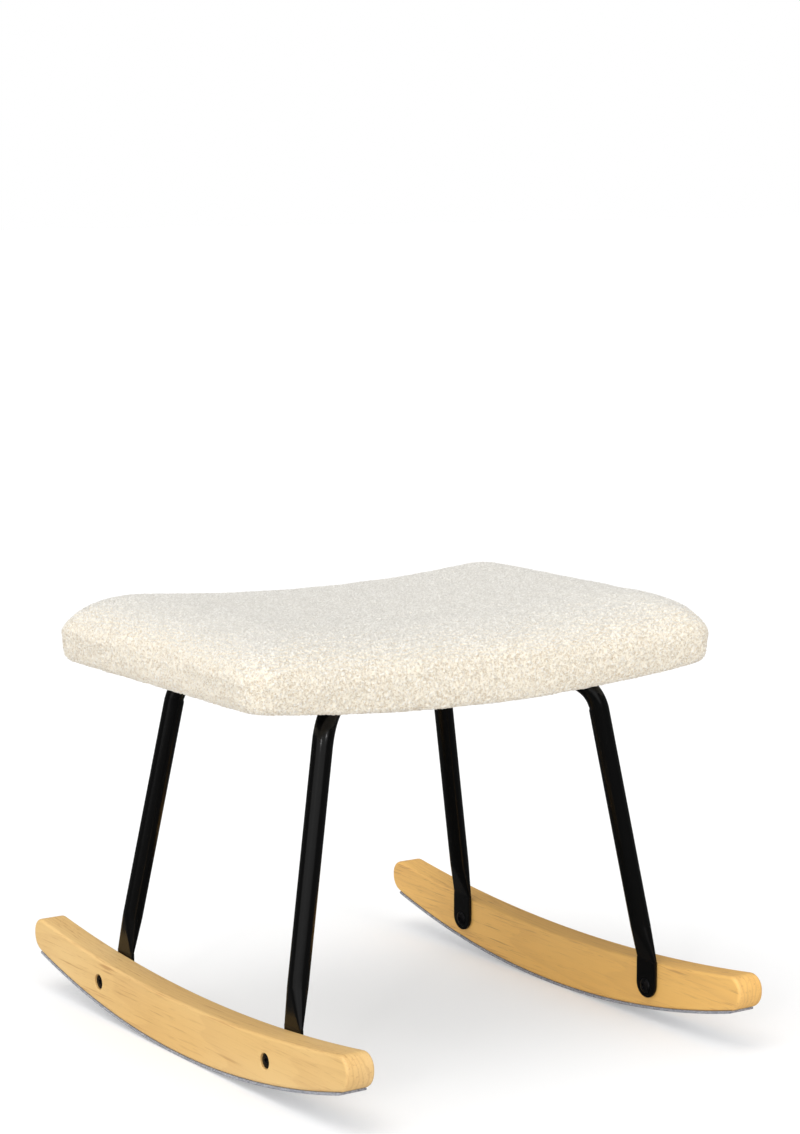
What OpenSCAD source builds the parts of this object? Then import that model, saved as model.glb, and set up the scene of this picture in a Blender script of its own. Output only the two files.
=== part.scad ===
// Rocking footstool: a padded seat on a crossed steel tube frame, on two solid wood rockers.
// Millimetres. X runs from rocker to rocker, Y along the rockers, Z up from the floor.
// The origin lies on the floor, under the middle of the seat.

/* [Rockers] */
// Distance between the outer faces of the two rockers
rocker_span = 528; // [470:2:570]
// Length of a rocker from nose to nose
rocker_l = 656; // [600:2:720]
// Thickness of a rocker board
rocker_t = 33; // [26:1:38]
// Height of the wood at the middle of a rocker
rocker_mid_h = 57; // [52:1:66]
// Radius of the curve that the wood rocks on
rocker_under_r = 1213; // [1100:1:1500]
// Radius of the hollow curve along the top of a rocker
rocker_over_r = 2300; // [1500:10:3000]
// Rounding of the long edges of a rocker
rocker_edge_r = 3.5; // [1:0.5:6]
// Rounding at the top of a nose
nose_top_r = 16; // [8:0.5:18]
// Rounding at the bottom of a nose
nose_low_r = 19; // [8:0.5:22]

/* [Felt strips] */
// Thickness of the felt under a rocker
felt_t = 3; // [2:0.5:5]
// How far the felt stops short of the nose
felt_end_gap = 14; // [8:1:40]
// How far the felt stops short of the faces of the rocker
felt_side_gap = 0.5; // [0:0.5:3]

/* [Frame] */
// Outer diameter of the steel tube
tube_d = 22; // [19:0.5:25.4]
// Wall of the steel tube
tube_wall = 2; // [1.2:0.1:2.5]
// Radius of the bend between leg and arm, at the middle of the tube
bend_r = 42; // [34:1:60]
// Distance from the middle of the stool to a knee, across the rockers
knee_x = 171.5; // [140:0.5:190]
// Distance from the middle of the stool to a knee, along the rockers
knee_y = 148; // [120:1:165]

/* [Feet of the frame] */
// Distance from the middle of a rocker to a foot bolt
foot_y = 175; // [140:1:220]
// Height of a foot bolt over the floor
foot_bolt_h = 40; // [34:1:48]
// Width of the flattened foot
foot_w = 32; // [26:1:36]
// Distance from the bolt to the rounded tip of the foot
foot_tip = 13.5; // [10:0.5:18]
// Distance from the bolt up to the crease, where the foot ends
foot_crease_rise = 30; // [20:1:45]
// Length over which the tube goes from flat to round
foot_swell_l = 40; // [25:1:60]
// Slit that is left inside the flattened foot
foot_slit = 0.4; // [0:0.1:1]

/* [Foot bolts and sleeve nuts] */
// Diameter of a foot bolt
foot_bolt_d = 8; // [6:1:8]
// Length of a foot bolt under its head
foot_bolt_l = 25; // [20:1:30]
// Diameter of the button head
foot_head_d = 16.5; // [12:0.5:18]
// Height of the button head
foot_head_h = 2.8; // [2:0.1:4.4]
// Hex key size of the button head and of the sleeve nut
foot_key = 5; // [3:1:6]
// Diameter of the hole that hides a sleeve nut
sink_d = 17; // [15:0.5:20]
// Depth of the hole that hides a sleeve nut
sink_depth = 4; // [3:0.5:10]
// Diameter of the sleeve of the nut
sleeve_d = 10.5; // [10:0.5:11]
// Length of the sleeve of the nut
sleeve_l = 18; // [12:1:20]
// Diameter of the head of the nut
sleeve_head_d = 15.5; // [13:0.5:17]
// Thickness of the head of the nut
sleeve_head_t = 2; // [1:0.5:3]

/* [Seat board] */
// Height of the underside of the board, at the middle of the stool
board_h = 400; // [360:1:440]
// Thickness of the bent board
board_t = 12; // [9:1:18]
// Radius that the underside of the board is bent to
board_bend_r = 2205; // [1600:5:4000]
// How far the edge of the board lies inside the widest line of the seat
board_inset = 14; // [8:1:24]
// Radius of the corners of the board
board_corner_r = 32; // [30:1:60]

/* [Upholstery] */
// Width of the seat across the rockers
seat_w = 594; // [540:2:640]
// Depth of the seat along the rockers
seat_d = 420; // [380:2:470]
// Radius of the upright corners of the seat
seat_corner_r = 28; // [20:1:40]
// Height of the widest line of the seat over the underside of the board
waist_rise = 11; // [8:1:20]
// Height of the crown over the widest line of the seat
crown_h = 54; // [40:1:80]
// Distance from the edge to where the crown levels off
crown_run = 100; // [70:1:130]
// Extra height of the middle of the seat
crown_extra = 5; // [0:1:15]
// How far the padded roll hangs below the underside of the board
roll_hang = 15; // [10:1:22]
// Rounding of the lower edge of the roll
roll_corner_r = 12; // [8:1:13]
// Width of the flat under the roll, from the rounding inwards
roll_flat = 8; // [4:1:12]
// Distance from the widest line to where the hem lies flat on the board
hem_start = 45; // [40:1:55]
// Width of the hem on the board
hem_w = 25; // [15:1:40]
// Thickness of the stapled hem
hem_t = 2; // [1:0.5:2.5]
// Thickness of the looped fabric
cover_t = 3; // [2:0.5:5]
// Thickness of the dust cover
dust_t = 0.6; // [0.4:0.1:1]
// Distance from the widest line of the seat to the edge of the dust cover
dust_inset = 50; // [48:1:60]
// Room in the dust cover around each spacer
dust_hole_room = 2; // [1:0.5:4]

/* [Staples] */
// Width of a staple
staple_w = 10; // [8:1:13]
// Thickness of the wire of a staple
staple_t = 0.7; // [0.5:0.1:1]
// Breadth of the wire of a staple
staple_b = 1.2; // [0.8:0.1:1.5]
// Greatest distance between two staples
staple_pitch = 60; // [30:5:90]
// Distance from the edge of the dust cover to the staples
staple_edge = 6; // [4:1:8]

/* [Seat bolts] */
// Distance from the middle of the stool to a seat bolt, along its arm
seat_bolt_reach = 110; // [80:1:130]
// Diameter of a seat bolt
seat_bolt_d = 6; // [5:1:6]
// Length of a seat bolt under its head
seat_bolt_l = 40; // [38:1:40]
// Diameter of the head of a seat bolt
seat_head_d = 12; // [10:0.5:14]
// Height of the head of a seat bolt
seat_head_h = 3.3; // [2.5:0.1:4]
// Hex key size of a seat bolt
seat_key = 4; // [3:1:5]
// Diameter of the curved washer
washer_d = 16; // [14:0.5:18]
// Thickness of the curved washer under the tube
washer_t = 2; // [1:0.5:3]
// How far the curved washer climbs round the tube
washer_climb = 3; // [1:0.5:3]
// Gap that a spacer keeps between the tube and the board, at the middle of the stool
spacer_h = 4; // [3.5:0.5:8]
// Diameter of a spacer
spacer_d = 20; // [16:0.5:21]
// How far a spacer reaches down round the tube
spacer_climb = 5; // [2:0.5:6]
// Diameter of the flange of a tee nut
tee_flange_d = 19; // [16:0.5:22]
// Thickness of the flange of a tee nut
tee_flange_t = 1.5; // [1:0.1:1.8]
// Depth of the seat for the flange in the board
tee_sink = 2; // [2:0.1:3]
// Outer diameter of the barrel of a tee nut
tee_barrel_d = 8; // [7.5:0.1:9]
// Length of the barrel of a tee nut
tee_barrel_l = 8; // [5:0.5:9]

/* [Hidden] */

// Fineness of small round pieces
$fn = 72;
// Fineness of the long curves of the rockers and of the board
long_fn = 256;

// Clearances
fit_gap = 0.1;
hairline = 0.05;
bolt_room = 0.6;
thread_room = 0.2;
sleeve_room = 0.5;
soft_gap = 0.3;
overrun = 10;

// Rocker: centres of its two long curves, above the middle of the rocker
under_centre_h = felt_t + rocker_under_r;
over_centre_h = felt_t + rocker_mid_h + rocker_over_r;
rocker_half = rocker_l / 2;
rocker_mid_x = (rocker_span - rocker_t) / 2;
rocker_inner_x = rocker_span / 2 - rocker_t;

// Nose: height of the wood at its end, and roundings that its height allows
nose_reach_share = 1.2;
end_low_h = under_centre_h - sqrt(pow(rocker_under_r, 2) - pow(rocker_half, 2));
end_top_h = over_centre_h - sqrt(pow(rocker_over_r, 2) - pow(rocker_half, 2));
nose_top_limit_share = 0.475;
nose_low_limit_share = 0.56;
nose_top = min(nose_top_r, (end_top_h - end_low_h) * nose_top_limit_share);
nose_low = min(nose_low_r, (end_top_h - end_low_h) * nose_low_limit_share);
nose_top_y = rocker_half - nose_top;
nose_top_z = over_centre_h - sqrt(pow(rocker_over_r + nose_top, 2) - pow(nose_top_y, 2));
nose_low_y = rocker_half - nose_low;
nose_low_z = under_centre_h - sqrt(pow(rocker_under_r - nose_low, 2) - pow(nose_low_y, 2));
nose_top_touch_y = nose_top_y * rocker_over_r / (rocker_over_r + nose_top);
nose_low_touch_y = nose_low_y * rocker_under_r / (rocker_under_r - nose_low);

// Frame: heights, foot and bend, worked out for the leg at plus X and plus Y
tube_r = tube_d / 2;
tube_bore_r = tube_r - tube_wall;
arm_h = board_h - spacer_h - tube_r;
foot_t = 2 * tube_wall + foot_slit;
foot_x = rocker_inner_x - foot_t / 2;
crease = [foot_x, foot_y, foot_bolt_h + foot_crease_rise];
knee = [knee_x, knee_y, arm_h];
leg_dir = unit(knee - crease);
arm_dir = unit([-knee_x, -knee_y, 0]);
bend_turn = acos(leg_dir * arm_dir);
bend_cut = bend_r * tan(bend_turn / 2);
bend_in = unit(arm_dir - leg_dir * (leg_dir * arm_dir));
bend_side = cross(leg_dir, bend_in);
swell_top = crease + leg_dir * foot_swell_l;
bend_start = knee - leg_dir * bend_cut;
bend_end = knee + arm_dir * bend_cut;
bend_centre = bend_start + bend_in * bend_r;
arm_l = norm([knee_x, knee_y]);
lap_share = 0.25;
swell_rings = 8;
swell_sides = 32;

// Foot bolts and sleeve nuts, measured along X from the inner face of the foot
foot_head_x = foot_x - foot_t / 2;
sink_floor_x = rocker_span / 2 - sink_depth;
foot_head_rim = foot_head_h * 0.3;
foot_key_depth = foot_head_h * 0.7;
foot_shank_x = foot_head_x + foot_bolt_l;
sleeve_floor_share = 0.15;

// Seat: half sizes and heights from the widest line, which lies at waist_h
seat_half_x = seat_w / 2;
seat_half_y = seat_d / 2;
waist_h = board_h + waist_rise;
board_centre_h = board_h + board_bend_r;
roll_low = waist_rise + roll_hang;
roll_inner = roll_corner_r + roll_flat;
hem_up = waist_rise + soft_gap;
hem_down = hem_up + hem_t;
foam_depth = cover_t + soft_gap;
foam_cut = board_inset - soft_gap;
foam_lip_share = 0.72;
crown_turn_shares = [0.16, 0.33, 0.53, 0.75, 1];
roll_curve_shares = [1, 0.67, 0.33, 0];
crown_ring_share = 0.5;
corner_steps = 3;
long_side_steps = 9;
short_side_steps = 4;
dust_top_r = board_bend_r + soft_gap + hem_t + fit_gap;
dust_low_r = dust_top_r + dust_t;

// Seat bolts: place of the one at plus X and plus Y, and heights of what it passes
bolt_x = -arm_dir.x * seat_bolt_reach;
bolt_y = -arm_dir.y * seat_bolt_reach;
washer_h = arm_h - tube_r - washer_t;
tee_floor_h = board_h + board_t + sag(bolt_x) - tee_sink;
seat_head_rim = seat_head_h * 0.4;
seat_key_depth = seat_head_h * 0.6;
bolt_corners = [[1, 1], [-1, 1], [-1, -1], [1, -1]];

function unit(v) = v / norm(v);

// Rise of the bent board, and of all that follows it, at a distance from the middle
function sag(x) = board_bend_r - sqrt(pow(board_bend_r, 2) - pow(x, 2));

// Points of a rounded corner and of a straight side of the seat, seen from above
function corner_points(x, y, turn) =
    [for (i = [0:corner_steps])
        let (a = turn + 90 * i / corner_steps)
        [x + seat_corner_r * cos(a), y + seat_corner_r * sin(a)]];
function side_points(from, to, steps) = [for (i = [1:steps - 1]) from + (to - from) * i / steps];

// Widest line of the seat, seen from above, anticlockwise
core_x = seat_half_x - seat_corner_r;
core_y = seat_half_y - seat_corner_r;
seat_line = concat(
    corner_points(core_x, core_y, 0),
    side_points([core_x, seat_half_y], [-core_x, seat_half_y], long_side_steps),
    corner_points(-core_x, core_y, 90),
    side_points([-seat_half_x, core_y], [-seat_half_x, -core_y], short_side_steps),
    corner_points(-core_x, -core_y, 180),
    side_points([-core_x, -seat_half_y], [core_x, -seat_half_y], long_side_steps),
    corner_points(core_x, -core_y, 270),
    side_points([seat_half_x, -core_y], [seat_half_x, core_y], short_side_steps)
);

// One level line of the upholstery, drawn in by inset and raised by rise over the widest line
function seat_ring(inset, rise) =
    [for (p = seat_line)
        let (x = p.x * (1 - inset / seat_half_x), y = p.y * (1 - inset / seat_half_y))
        [x, y, waist_h + rise + sag(x)]];

// A level line inside the levelled part of the crown, as a share of that part's outline
function crown_ring(share, rise) =
    [for (p = seat_ring(crown_run, 0))
        [p.x * share, p.y * share, waist_h + rise + sag(p.x * share)]];

// Level lines of the roll, from the hem down and out to the widest line, at a depth under the face
function roll_rings(depth, hem, shares) =
    let (arc_r = roll_corner_r - depth, low = roll_low - depth)
    concat(
        [for (s = shares)
            let (ease = (1 - cos(180 * s)) / 2)
            seat_ring(roll_inner + (hem_start - roll_inner) * s, -low + (low - hem) * ease)],
        [for (a = [90, 45, 0])
            seat_ring(roll_corner_r - arc_r * cos(a), -roll_low + roll_corner_r - arc_r * sin(a))],
        [seat_ring(depth, 0)]
    );

// Level lines of the crown, from just over the widest line to the levelled part
function crown_rings(depth) =
    [for (s = crown_turn_shares)
        let (a = 90 * s)
        seat_ring(crown_run - (crown_run - depth) * cos(a), (crown_h - depth) * sin(a))];

function crown_inner_rings(depth) =
    [crown_ring(crown_ring_share, crown_rise(crown_ring_share) - depth)];
function crown_rise(share) = crown_h + crown_extra * (1 - pow(share, 2));
function reversed(list) = [for (i = [len(list) - 1:-1:0]) list[i]];
function joined(lists) = [for (l = lists) for (p = l) p];

// Closed skin over a chain of rings, shut at each end by a fan to a middle point
module ring_skin(first, rings, last) {
    n = len(rings[0]);
    m = len(rings);
    points = concat([first], joined(rings), [last]);
    end = len(points) - 1;
    sides = [for (j = [0:m - 2]) for (i = [0:n - 1])
        let (a = 1 + j * n + i, d = 1 + j * n + (i + 1) % n)
        each [[a, a + n, d + n], [a, d + n, d]]];
    low_fan = [for (i = [0:n - 1]) [0, 1 + i, 1 + (i + 1) % n]];
    high_fan = [for (i = [0:n - 1]) [end, end - n + (i + 1) % n, end - n + i]];
    polyhedron(points, concat(low_fan, sides, high_fan));
}

// Middle of the stool at a height over the widest line of the seat
function middle(rise) = [0, 0, waist_h + rise];

// Mirrored copy for a quarter of the stool, from the one at plus X and plus Y
module quarter(sx, sy) {
    mirror([sx < 0 ? 1 : 0, 0, 0]) mirror([0, sy < 0 ? 1 : 0, 0]) children();
}

// Mirrored copies at the front and back of one side
module foot_places(side) {
    for (sy = [-1, 1]) quarter(side, sy) children();
}

// The four places of the seat bolts
module seat_bolt_places() {
    for (c = bolt_corners) translate([c.x * bolt_x, c.y * bolt_y, 0]) children();
}

// Children set up along the tube: their Z along dir, their Y across the plane of the bend
module along(place, dir) {
    across = cross(bend_side, dir);
    multmatrix([
        [across.x, bend_side.x, dir.x, place.x],
        [across.y, bend_side.y, dir.y, place.y],
        [across.z, bend_side.z, dir.z, place.z],
        [0, 0, 0, 1]
    ]) children();
}

// Block or hole that is bent like the board, from one radius to a larger one
module bent_slab(inner_r, outer_r, half_y) {
    translate([0, half_y, board_centre_h]) rotate([90, 0, 0]) difference() {
        cylinder(r = outer_r, h = 2 * half_y, $fn = long_fn);
        translate([0, 0, -overrun]) cylinder(r = inner_r, h = 2 * half_y + 2 * overrun, $fn = long_fn);
    }
}

// Upright block with rounded corners, as large as the seat less an inset on each side
module seat_plan(inset, corner_r) {
    x = seat_half_x - inset;
    y = seat_half_y - inset;
    translate([0, 0, board_h - overrun]) linear_extrude(2 * overrun + board_t + sag(seat_half_x)) {
        square([2 * x, 2 * (y - corner_r)], center = true);
        square([2 * (x - corner_r), 2 * y], center = true);
        for (sx = [-1, 1], sy = [-1, 1])
            translate([sx * (x - corner_r), sy * (y - corner_r)]) circle(corner_r);
    }
}

// Section of a rocker board from radius from_r outwards, its two edges there rounded
module edged_section(from_r, h) {
    half_t = rocker_t / 2;
    e = rocker_edge_r;
    translate([from_r, e - half_t]) square([h, rocker_t - 2 * e]);
    translate([from_r + e, -half_t]) square([h - e, rocker_t]);
    for (s = [-1, 1]) translate([from_r + e, s * (half_t - e)]) circle(e);
}

// Children swept round a far centre over the rocker, past both of its noses
module rocker_sweep(centre_h, r) {
    reach = nose_reach_share * asin(rocker_half / r);
    translate([rocker_mid_x, 0, centre_h]) rotate([0, 90, 0]) rotate([0, 0, -reach])
        rotate_extrude(angle = 2 * reach, $fn = long_fn) children();
}

// Outline of the two noses, which the bands are cut to, through the thickness of the rocker
module nose_cut() {
    top = end_top_h + overrun;
    translate([rocker_inner_x - overrun, 0, 0]) rotate([90, 0, 90])
        linear_extrude(rocker_t + 2 * overrun) {
            translate([-nose_low_touch_y, -overrun]) square([2 * nose_low_touch_y, nose_low_z + overrun]);
            translate([-nose_top_touch_y, nose_low_z]) square([2 * nose_top_touch_y, top - nose_low_z]);
            translate([-rocker_half, nose_low_z]) square([rocker_l, nose_top_z - nose_low_z]);
            for (s = [-1, 1]) {
                translate([s * nose_top_y, nose_top_z]) circle(nose_top);
                translate([s * nose_low_y, nose_low_z]) circle(nose_low);
            }
        }
}

// Solid wood rocker with its two drilled and counterbored holes
module rocker(side) {
    depth = end_top_h;
    quarter(side, 1) difference() {
        intersection() {
            rocker_sweep(under_centre_h, rocker_under_r)
                translate([2 * rocker_under_r, 0]) mirror([1, 0]) edged_section(rocker_under_r, depth);
            nose_cut();
        }
        rocker_sweep(over_centre_h, rocker_over_r) difference() {
            translate([rocker_over_r - depth, -rocker_t]) square([depth + 2 * rocker_edge_r, 2 * rocker_t]);
            edged_section(rocker_over_r, depth);
        }
        for (s = [-1, 1]) translate([0, s * foot_y, foot_bolt_h]) rotate([0, 90, 0]) {
            translate([0, 0, rocker_inner_x - overrun])
                cylinder(d = sleeve_d + sleeve_room, h = rocker_t + overrun);
            translate([0, 0, sink_floor_x]) cylinder(d = sink_d, h = sink_depth + overrun);
        }
    }
}

module rocker_left() {
    color("#e0bf8f") rocker(-1);
}

module rocker_right() {
    color("#e0bf8f") rocker(1);
}

// Felt strip glued under a rocker
module felt_strip(side) {
    w = rocker_t - 2 * felt_side_gap;
    reach = asin((rocker_half - felt_end_gap) / (rocker_under_r + felt_t));
    quarter(side, 1) translate([rocker_mid_x, 0, under_centre_h]) rotate([0, 90, 0])
        rotate([0, 0, -reach]) rotate_extrude(angle = 2 * reach, $fn = long_fn)
            translate([rocker_under_r, -w / 2]) square([felt_t, w]);
}

module felt_strip_left() {
    color("#8c9199") felt_strip(-1);
}

module felt_strip_right() {
    color("#8c9199") felt_strip(1);
}

// Rings of the swelling from the flattened foot to the round tube, a hairline inside its face
function swell_ring(t) =
    let (
        end_r = tube_r - hairline,
        middle_point = crease + leg_dir * foot_swell_l * t,
        thin_end = unit([1, 0, 0] - leg_dir * leg_dir.x),
        thin = unit([1, 0, 0] * (1 - t) + thin_end * t),
        wide = unit([0, 1, 0] * (1 - t) + cross(leg_dir, thin_end) * t),
        half_w = foot_w / 2 + (end_r - foot_w / 2) * t,
        half_t = foot_t / 2 + (end_r - foot_t / 2) * t
    )
    [for (i = [0:swell_sides - 1])
        let (a = 360 * i / swell_sides, out = half_w * cos(a), up = half_w * sin(a))
        middle_point + thin * max(-half_t, min(half_t, out)) + wide * up];

// Flattened and drilled foot of a leg, against the inner face of a rocker
module flat_foot() {
    tip_r = foot_w / 2;
    tip_rise = tip_r - foot_tip;
    translate([foot_head_x, foot_y, foot_bolt_h]) rotate([90, 0, 90]) linear_extrude(foot_t)
        difference() {
            union() {
                translate([-tip_r, tip_rise]) square([foot_w, foot_crease_rise - tip_rise]);
                translate([0, tip_rise]) circle(tip_r);
            }
            circle(d = foot_bolt_d + bolt_room);
        }
}

// Wall of the tube in cross section, or a ring within that wall at a share of its thickness
module tube_wall_section(share) {
    spare = tube_wall * share;
    difference() {
        circle(tube_r - spare);
        circle(tube_bore_r + spare);
    }
}

// Leg at plus X and plus Y with its foot and its bend. The tube starts just under the top of
// the swelling. A ring inside the wall laps the end of the bend over the arm that follows it.
module bent_leg() {
    leg_l = norm(bend_start - swell_top) + fit_gap;
    multmatrix([
        [-bend_in.x, leg_dir.x, bend_side.x, bend_centre.x],
        [-bend_in.y, leg_dir.y, bend_side.y, bend_centre.y],
        [-bend_in.z, leg_dir.z, bend_side.z, bend_centre.z],
        [0, 0, 0, 1]
    ]) {
        translate([bend_r, 0, 0]) rotate([90, 0, 0]) linear_extrude(leg_l) tube_wall_section(0);
        rotate_extrude(angle = bend_turn) translate([bend_r, 0]) tube_wall_section(0);
        rotate([0, 0, bend_turn]) translate([bend_r, -tube_wall, 0]) rotate([-90, 0, 0])
            linear_extrude(2 * tube_wall) tube_wall_section(lap_share);
    }
    ring_skin(crease, [for (j = [0:swell_rings - 1]) swell_ring(j / (swell_rings - 1))], swell_top);
    flat_foot();
}

// Arm that runs from the bend at plus X and plus Y towards the middle of the stool.
// It starts a hairline after the bend, where the ring of the bend reaches into it.
module arm(length) {
    along(bend_end + arm_dir * hairline, arm_dir) linear_extrude(length - hairline) tube_wall_section(0);
}

// Upright hole for a seat bolt through an arm
module arm_hole() {
    translate([bolt_x, bolt_y, arm_h - tube_d]) cylinder(d = seat_bolt_d + bolt_room, h = 2 * tube_d);
}

// The one tube that runs through, from the front left foot to the back right foot
module frame_long_tube() {
    color("#1d1d1f") {
        quarter(1, 1) bent_leg();
        quarter(-1, -1) bent_leg();
        difference() {
            arm(2 * (arm_l - bend_cut) - hairline);
            arm_hole();
            quarter(-1, -1) arm_hole();
        }
    }
}

// A tube that ends at the round side of the long tube, cut to it for the weld
module frame_short_tube(sx, sy) {
    quarter(sx, sy) bent_leg();
    difference() {
        quarter(sx, sy) difference() {
            arm(arm_l - bend_cut);
            arm_hole();
        }
        along(knee, arm_dir) cylinder(r = tube_r + fit_gap, h = 2 * arm_l);
    }
}

module frame_short_tube_front() {
    color("#1d1d1f") frame_short_tube(1, -1);
}

module frame_short_tube_back() {
    color("#1d1d1f") frame_short_tube(-1, 1);
}

// Domed head with a hex socket, its flat face at zero, its dome up
module button_head(d, h, rim, key, key_depth) {
    dome_h = h - rim;
    dome_r = (pow(d / 2, 2) + pow(dome_h, 2)) / (2 * dome_h);
    difference() {
        intersection() {
            cylinder(d = d, h = h);
            translate([0, 0, h - dome_r]) sphere(dome_r);
        }
        translate([0, 0, h - key_depth]) cylinder(d = key / cos(30), h = h, $fn = 6);
    }
}

module foot_bolt() {
    translate([foot_head_x, foot_y, foot_bolt_h]) {
        rotate([0, -90, 0]) button_head(foot_head_d, foot_head_h, foot_head_rim, foot_key, foot_key_depth);
        rotate([0, 90, 0]) cylinder(d = foot_bolt_d, h = foot_bolt_l);
    }
}

module rocker_bolts_left() {
    color("#26262a") foot_places(-1) foot_bolt();
}

module rocker_bolts_right() {
    color("#26262a") foot_places(1) foot_bolt();
}

// Sleeve nut: its head lies on the floor of the counterbore, its sleeve points inwards
module sleeve_nut() {
    floor_t = (sleeve_l + sleeve_head_t) * sleeve_floor_share;
    tip_x = sink_floor_x - sleeve_l;
    translate([tip_x, foot_y, foot_bolt_h]) rotate([0, 90, 0]) difference() {
        union() {
            cylinder(d = sleeve_d, h = sleeve_l);
            translate([0, 0, sleeve_l]) cylinder(d = sleeve_head_d, h = sleeve_head_t);
        }
        translate([0, 0, -overrun])
            cylinder(d = foot_bolt_d + thread_room, h = overrun + sleeve_l - floor_t);
        translate([0, 0, sleeve_l]) cylinder(d = foot_key / cos(30), h = overrun, $fn = 6);
    }
}

module sleeve_nuts_left() {
    color("#3a3a3d") foot_places(-1) sleeve_nut();
}

module sleeve_nuts_right() {
    color("#3a3a3d") foot_places(1) sleeve_nut();
}

// Bent plywood board, drilled for the seat bolts and their tee nuts
module seat_board() {
    color("#c8a878") difference() {
        intersection() {
            seat_plan(board_inset, board_corner_r);
            bent_slab(board_bend_r - board_t, board_bend_r, seat_half_y);
        }
        seat_bolt_places() {
            translate([0, 0, board_h - overrun])
                cylinder(d = tee_barrel_d + bolt_room, h = board_t + 2 * overrun);
            translate([0, 0, tee_floor_h]) cylinder(d = tee_flange_d + bolt_room, h = board_t);
        }
    }
}

// Round plastic spacers, hollowed below to sit on the tube.
// Above, each is cut by the flat that touches the bent board over the bolt.
module saddle_spacers() {
    low = arm_h + tube_r - spacer_climb;
    color("#2b2b2d") for (c = bolt_corners) quarter(c.x, c.y) difference() {
        translate([bolt_x, bolt_y, low])
            cylinder(d = spacer_d, h = board_h + board_t - low);
        translate([bolt_x, bolt_y, low - overrun])
            cylinder(d = seat_bolt_d + bolt_room, h = board_t + board_h);
        along(knee, arm_dir) cylinder(r = tube_r, h = arm_l);
        translate([0, 0, board_centre_h]) rotate([0, -asin(bolt_x / board_bend_r), 0])
            translate([-spacer_d, 0, -board_bend_r]) cube([2 * spacer_d, seat_half_y, 2 * board_t]);
    }
}

// Bolts up through the arms and the spacers into the tee nuts
module seat_bolts() {
    color("#26262a") seat_bolt_places() translate([0, 0, washer_h]) {
        rotate([180, 0, 0]) button_head(seat_head_d, seat_head_h, seat_head_rim, seat_key, seat_key_depth);
        cylinder(d = seat_bolt_d, h = seat_bolt_l);
    }
}

// Curved washers under the arms
module seat_bolt_washers() {
    color("#55565a") for (c = bolt_corners) quarter(c.x, c.y) difference() {
        translate([bolt_x, bolt_y, washer_h]) cylinder(d = washer_d, h = washer_t + washer_climb);
        translate([bolt_x, bolt_y, washer_h - overrun])
            cylinder(d = seat_bolt_d + bolt_room, h = washer_t + washer_climb + 2 * overrun);
        along(knee, arm_dir) cylinder(r = tube_r, h = arm_l);
    }
}

// Tee nuts let into the top of the board
module seat_tee_nuts() {
    color("#8e9094") seat_bolt_places() translate([0, 0, tee_floor_h]) difference() {
        union() {
            cylinder(d = tee_flange_d, h = tee_flange_t);
            translate([0, 0, -tee_barrel_l]) cylinder(d = tee_barrel_d, h = tee_barrel_l);
        }
        translate([0, 0, -overrun]) cylinder(d = seat_bolt_d + thread_room, h = 2 * overrun);
    }
}

// Foam over the board and round its edge, with the room of the board left free
module foam_pad() {
    room_top = board_t - waist_rise + soft_gap;
    lip_shares = [foam_lip_share, roll_curve_shares[2], roll_curve_shares[3]];
    lip_inset = roll_inner + (hem_start - roll_inner) * foam_lip_share;
    color("#e8dfb8") ring_skin(
        middle(room_top),
        concat(
            [
                crown_ring(crown_ring_share, room_top),
                seat_ring(crown_run, room_top),
                seat_ring(foam_cut, room_top),
                seat_ring(foam_cut, -hem_up),
                seat_ring(lip_inset, -hem_up)
            ],
            roll_rings(foam_depth, hem_up, lip_shares),
            crown_rings(foam_depth),
            crown_inner_rings(foam_depth)
        ),
        middle(crown_rise(0) - foam_depth)
    );
}

// Looped fabric cover, closed over the foam and turned under the board to its hem
module fabric_cover() {
    hem_end = hem_start + hem_w;
    inner = concat(
        [seat_ring(hem_end, -hem_up)],
        roll_rings(cover_t, hem_up, roll_curve_shares),
        crown_rings(cover_t),
        crown_inner_rings(cover_t)
    );
    outer = concat(
        [seat_ring(hem_end, -hem_down)],
        roll_rings(0, hem_down, roll_curve_shares),
        crown_rings(0),
        crown_inner_rings(0)
    );
    color("#ece7de") ring_skin(
        middle(crown_rise(0) - cover_t),
        concat(reversed(inner), outer),
        middle(crown_rise(0))
    );
}

// Thin black cloth under the board, open round the four spacers
module dust_cover() {
    corner_r = seat_corner_r;
    color("#202022") difference() {
        intersection() {
            seat_plan(dust_inset, corner_r);
            bent_slab(dust_top_r, dust_low_r, seat_half_y);
        }
        seat_bolt_places() translate([0, 0, board_h - overrun])
            cylinder(d = spacer_d + 2 * dust_hole_room, h = 2 * overrun + board_t);
    }
}

// One staple across the way from the middle, lying on the bent dust cover at [x, y]
module staple(x, y, turn) {
    tilt = asin(x / board_bend_r);
    translate([0, 0, board_centre_h]) rotate([0, -tilt, 0])
        translate([0, y, -dust_low_r - fit_gap - staple_t / 2]) rotate([0, 0, turn])
            cube([staple_w, staple_b, staple_t], center = true);
}

// Staples along the edge of the dust cover, evenly spaced on each side
module dust_cover_staples() {
    x = seat_half_x - dust_inset - staple_edge;
    y = seat_half_y - dust_inset - staple_edge;
    run_x = x - seat_corner_r;
    run_y = y - seat_corner_r;
    steps_x = ceil(2 * run_x / staple_pitch);
    steps_y = ceil(2 * run_y / staple_pitch);
    color("#9a9da1") for (s = [-1, 1]) {
        for (i = [0:steps_x]) staple(run_x * (2 * i / steps_x - 1), s * y, 0);
        for (i = [0:steps_y]) staple(s * x, run_y * (2 * i / steps_y - 1), 90);
    }
}

rocker_left();
rocker_right();
felt_strip_left();
felt_strip_right();
frame_long_tube();
frame_short_tube_front();
frame_short_tube_back();
rocker_bolts_left();
rocker_bolts_right();
sleeve_nuts_left();
sleeve_nuts_right();
seat_board();
saddle_spacers();
seat_bolts();
seat_bolt_washers();
seat_tee_nuts();
foam_pad();
fabric_cover();
dust_cover();
dust_cover_staples();
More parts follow.
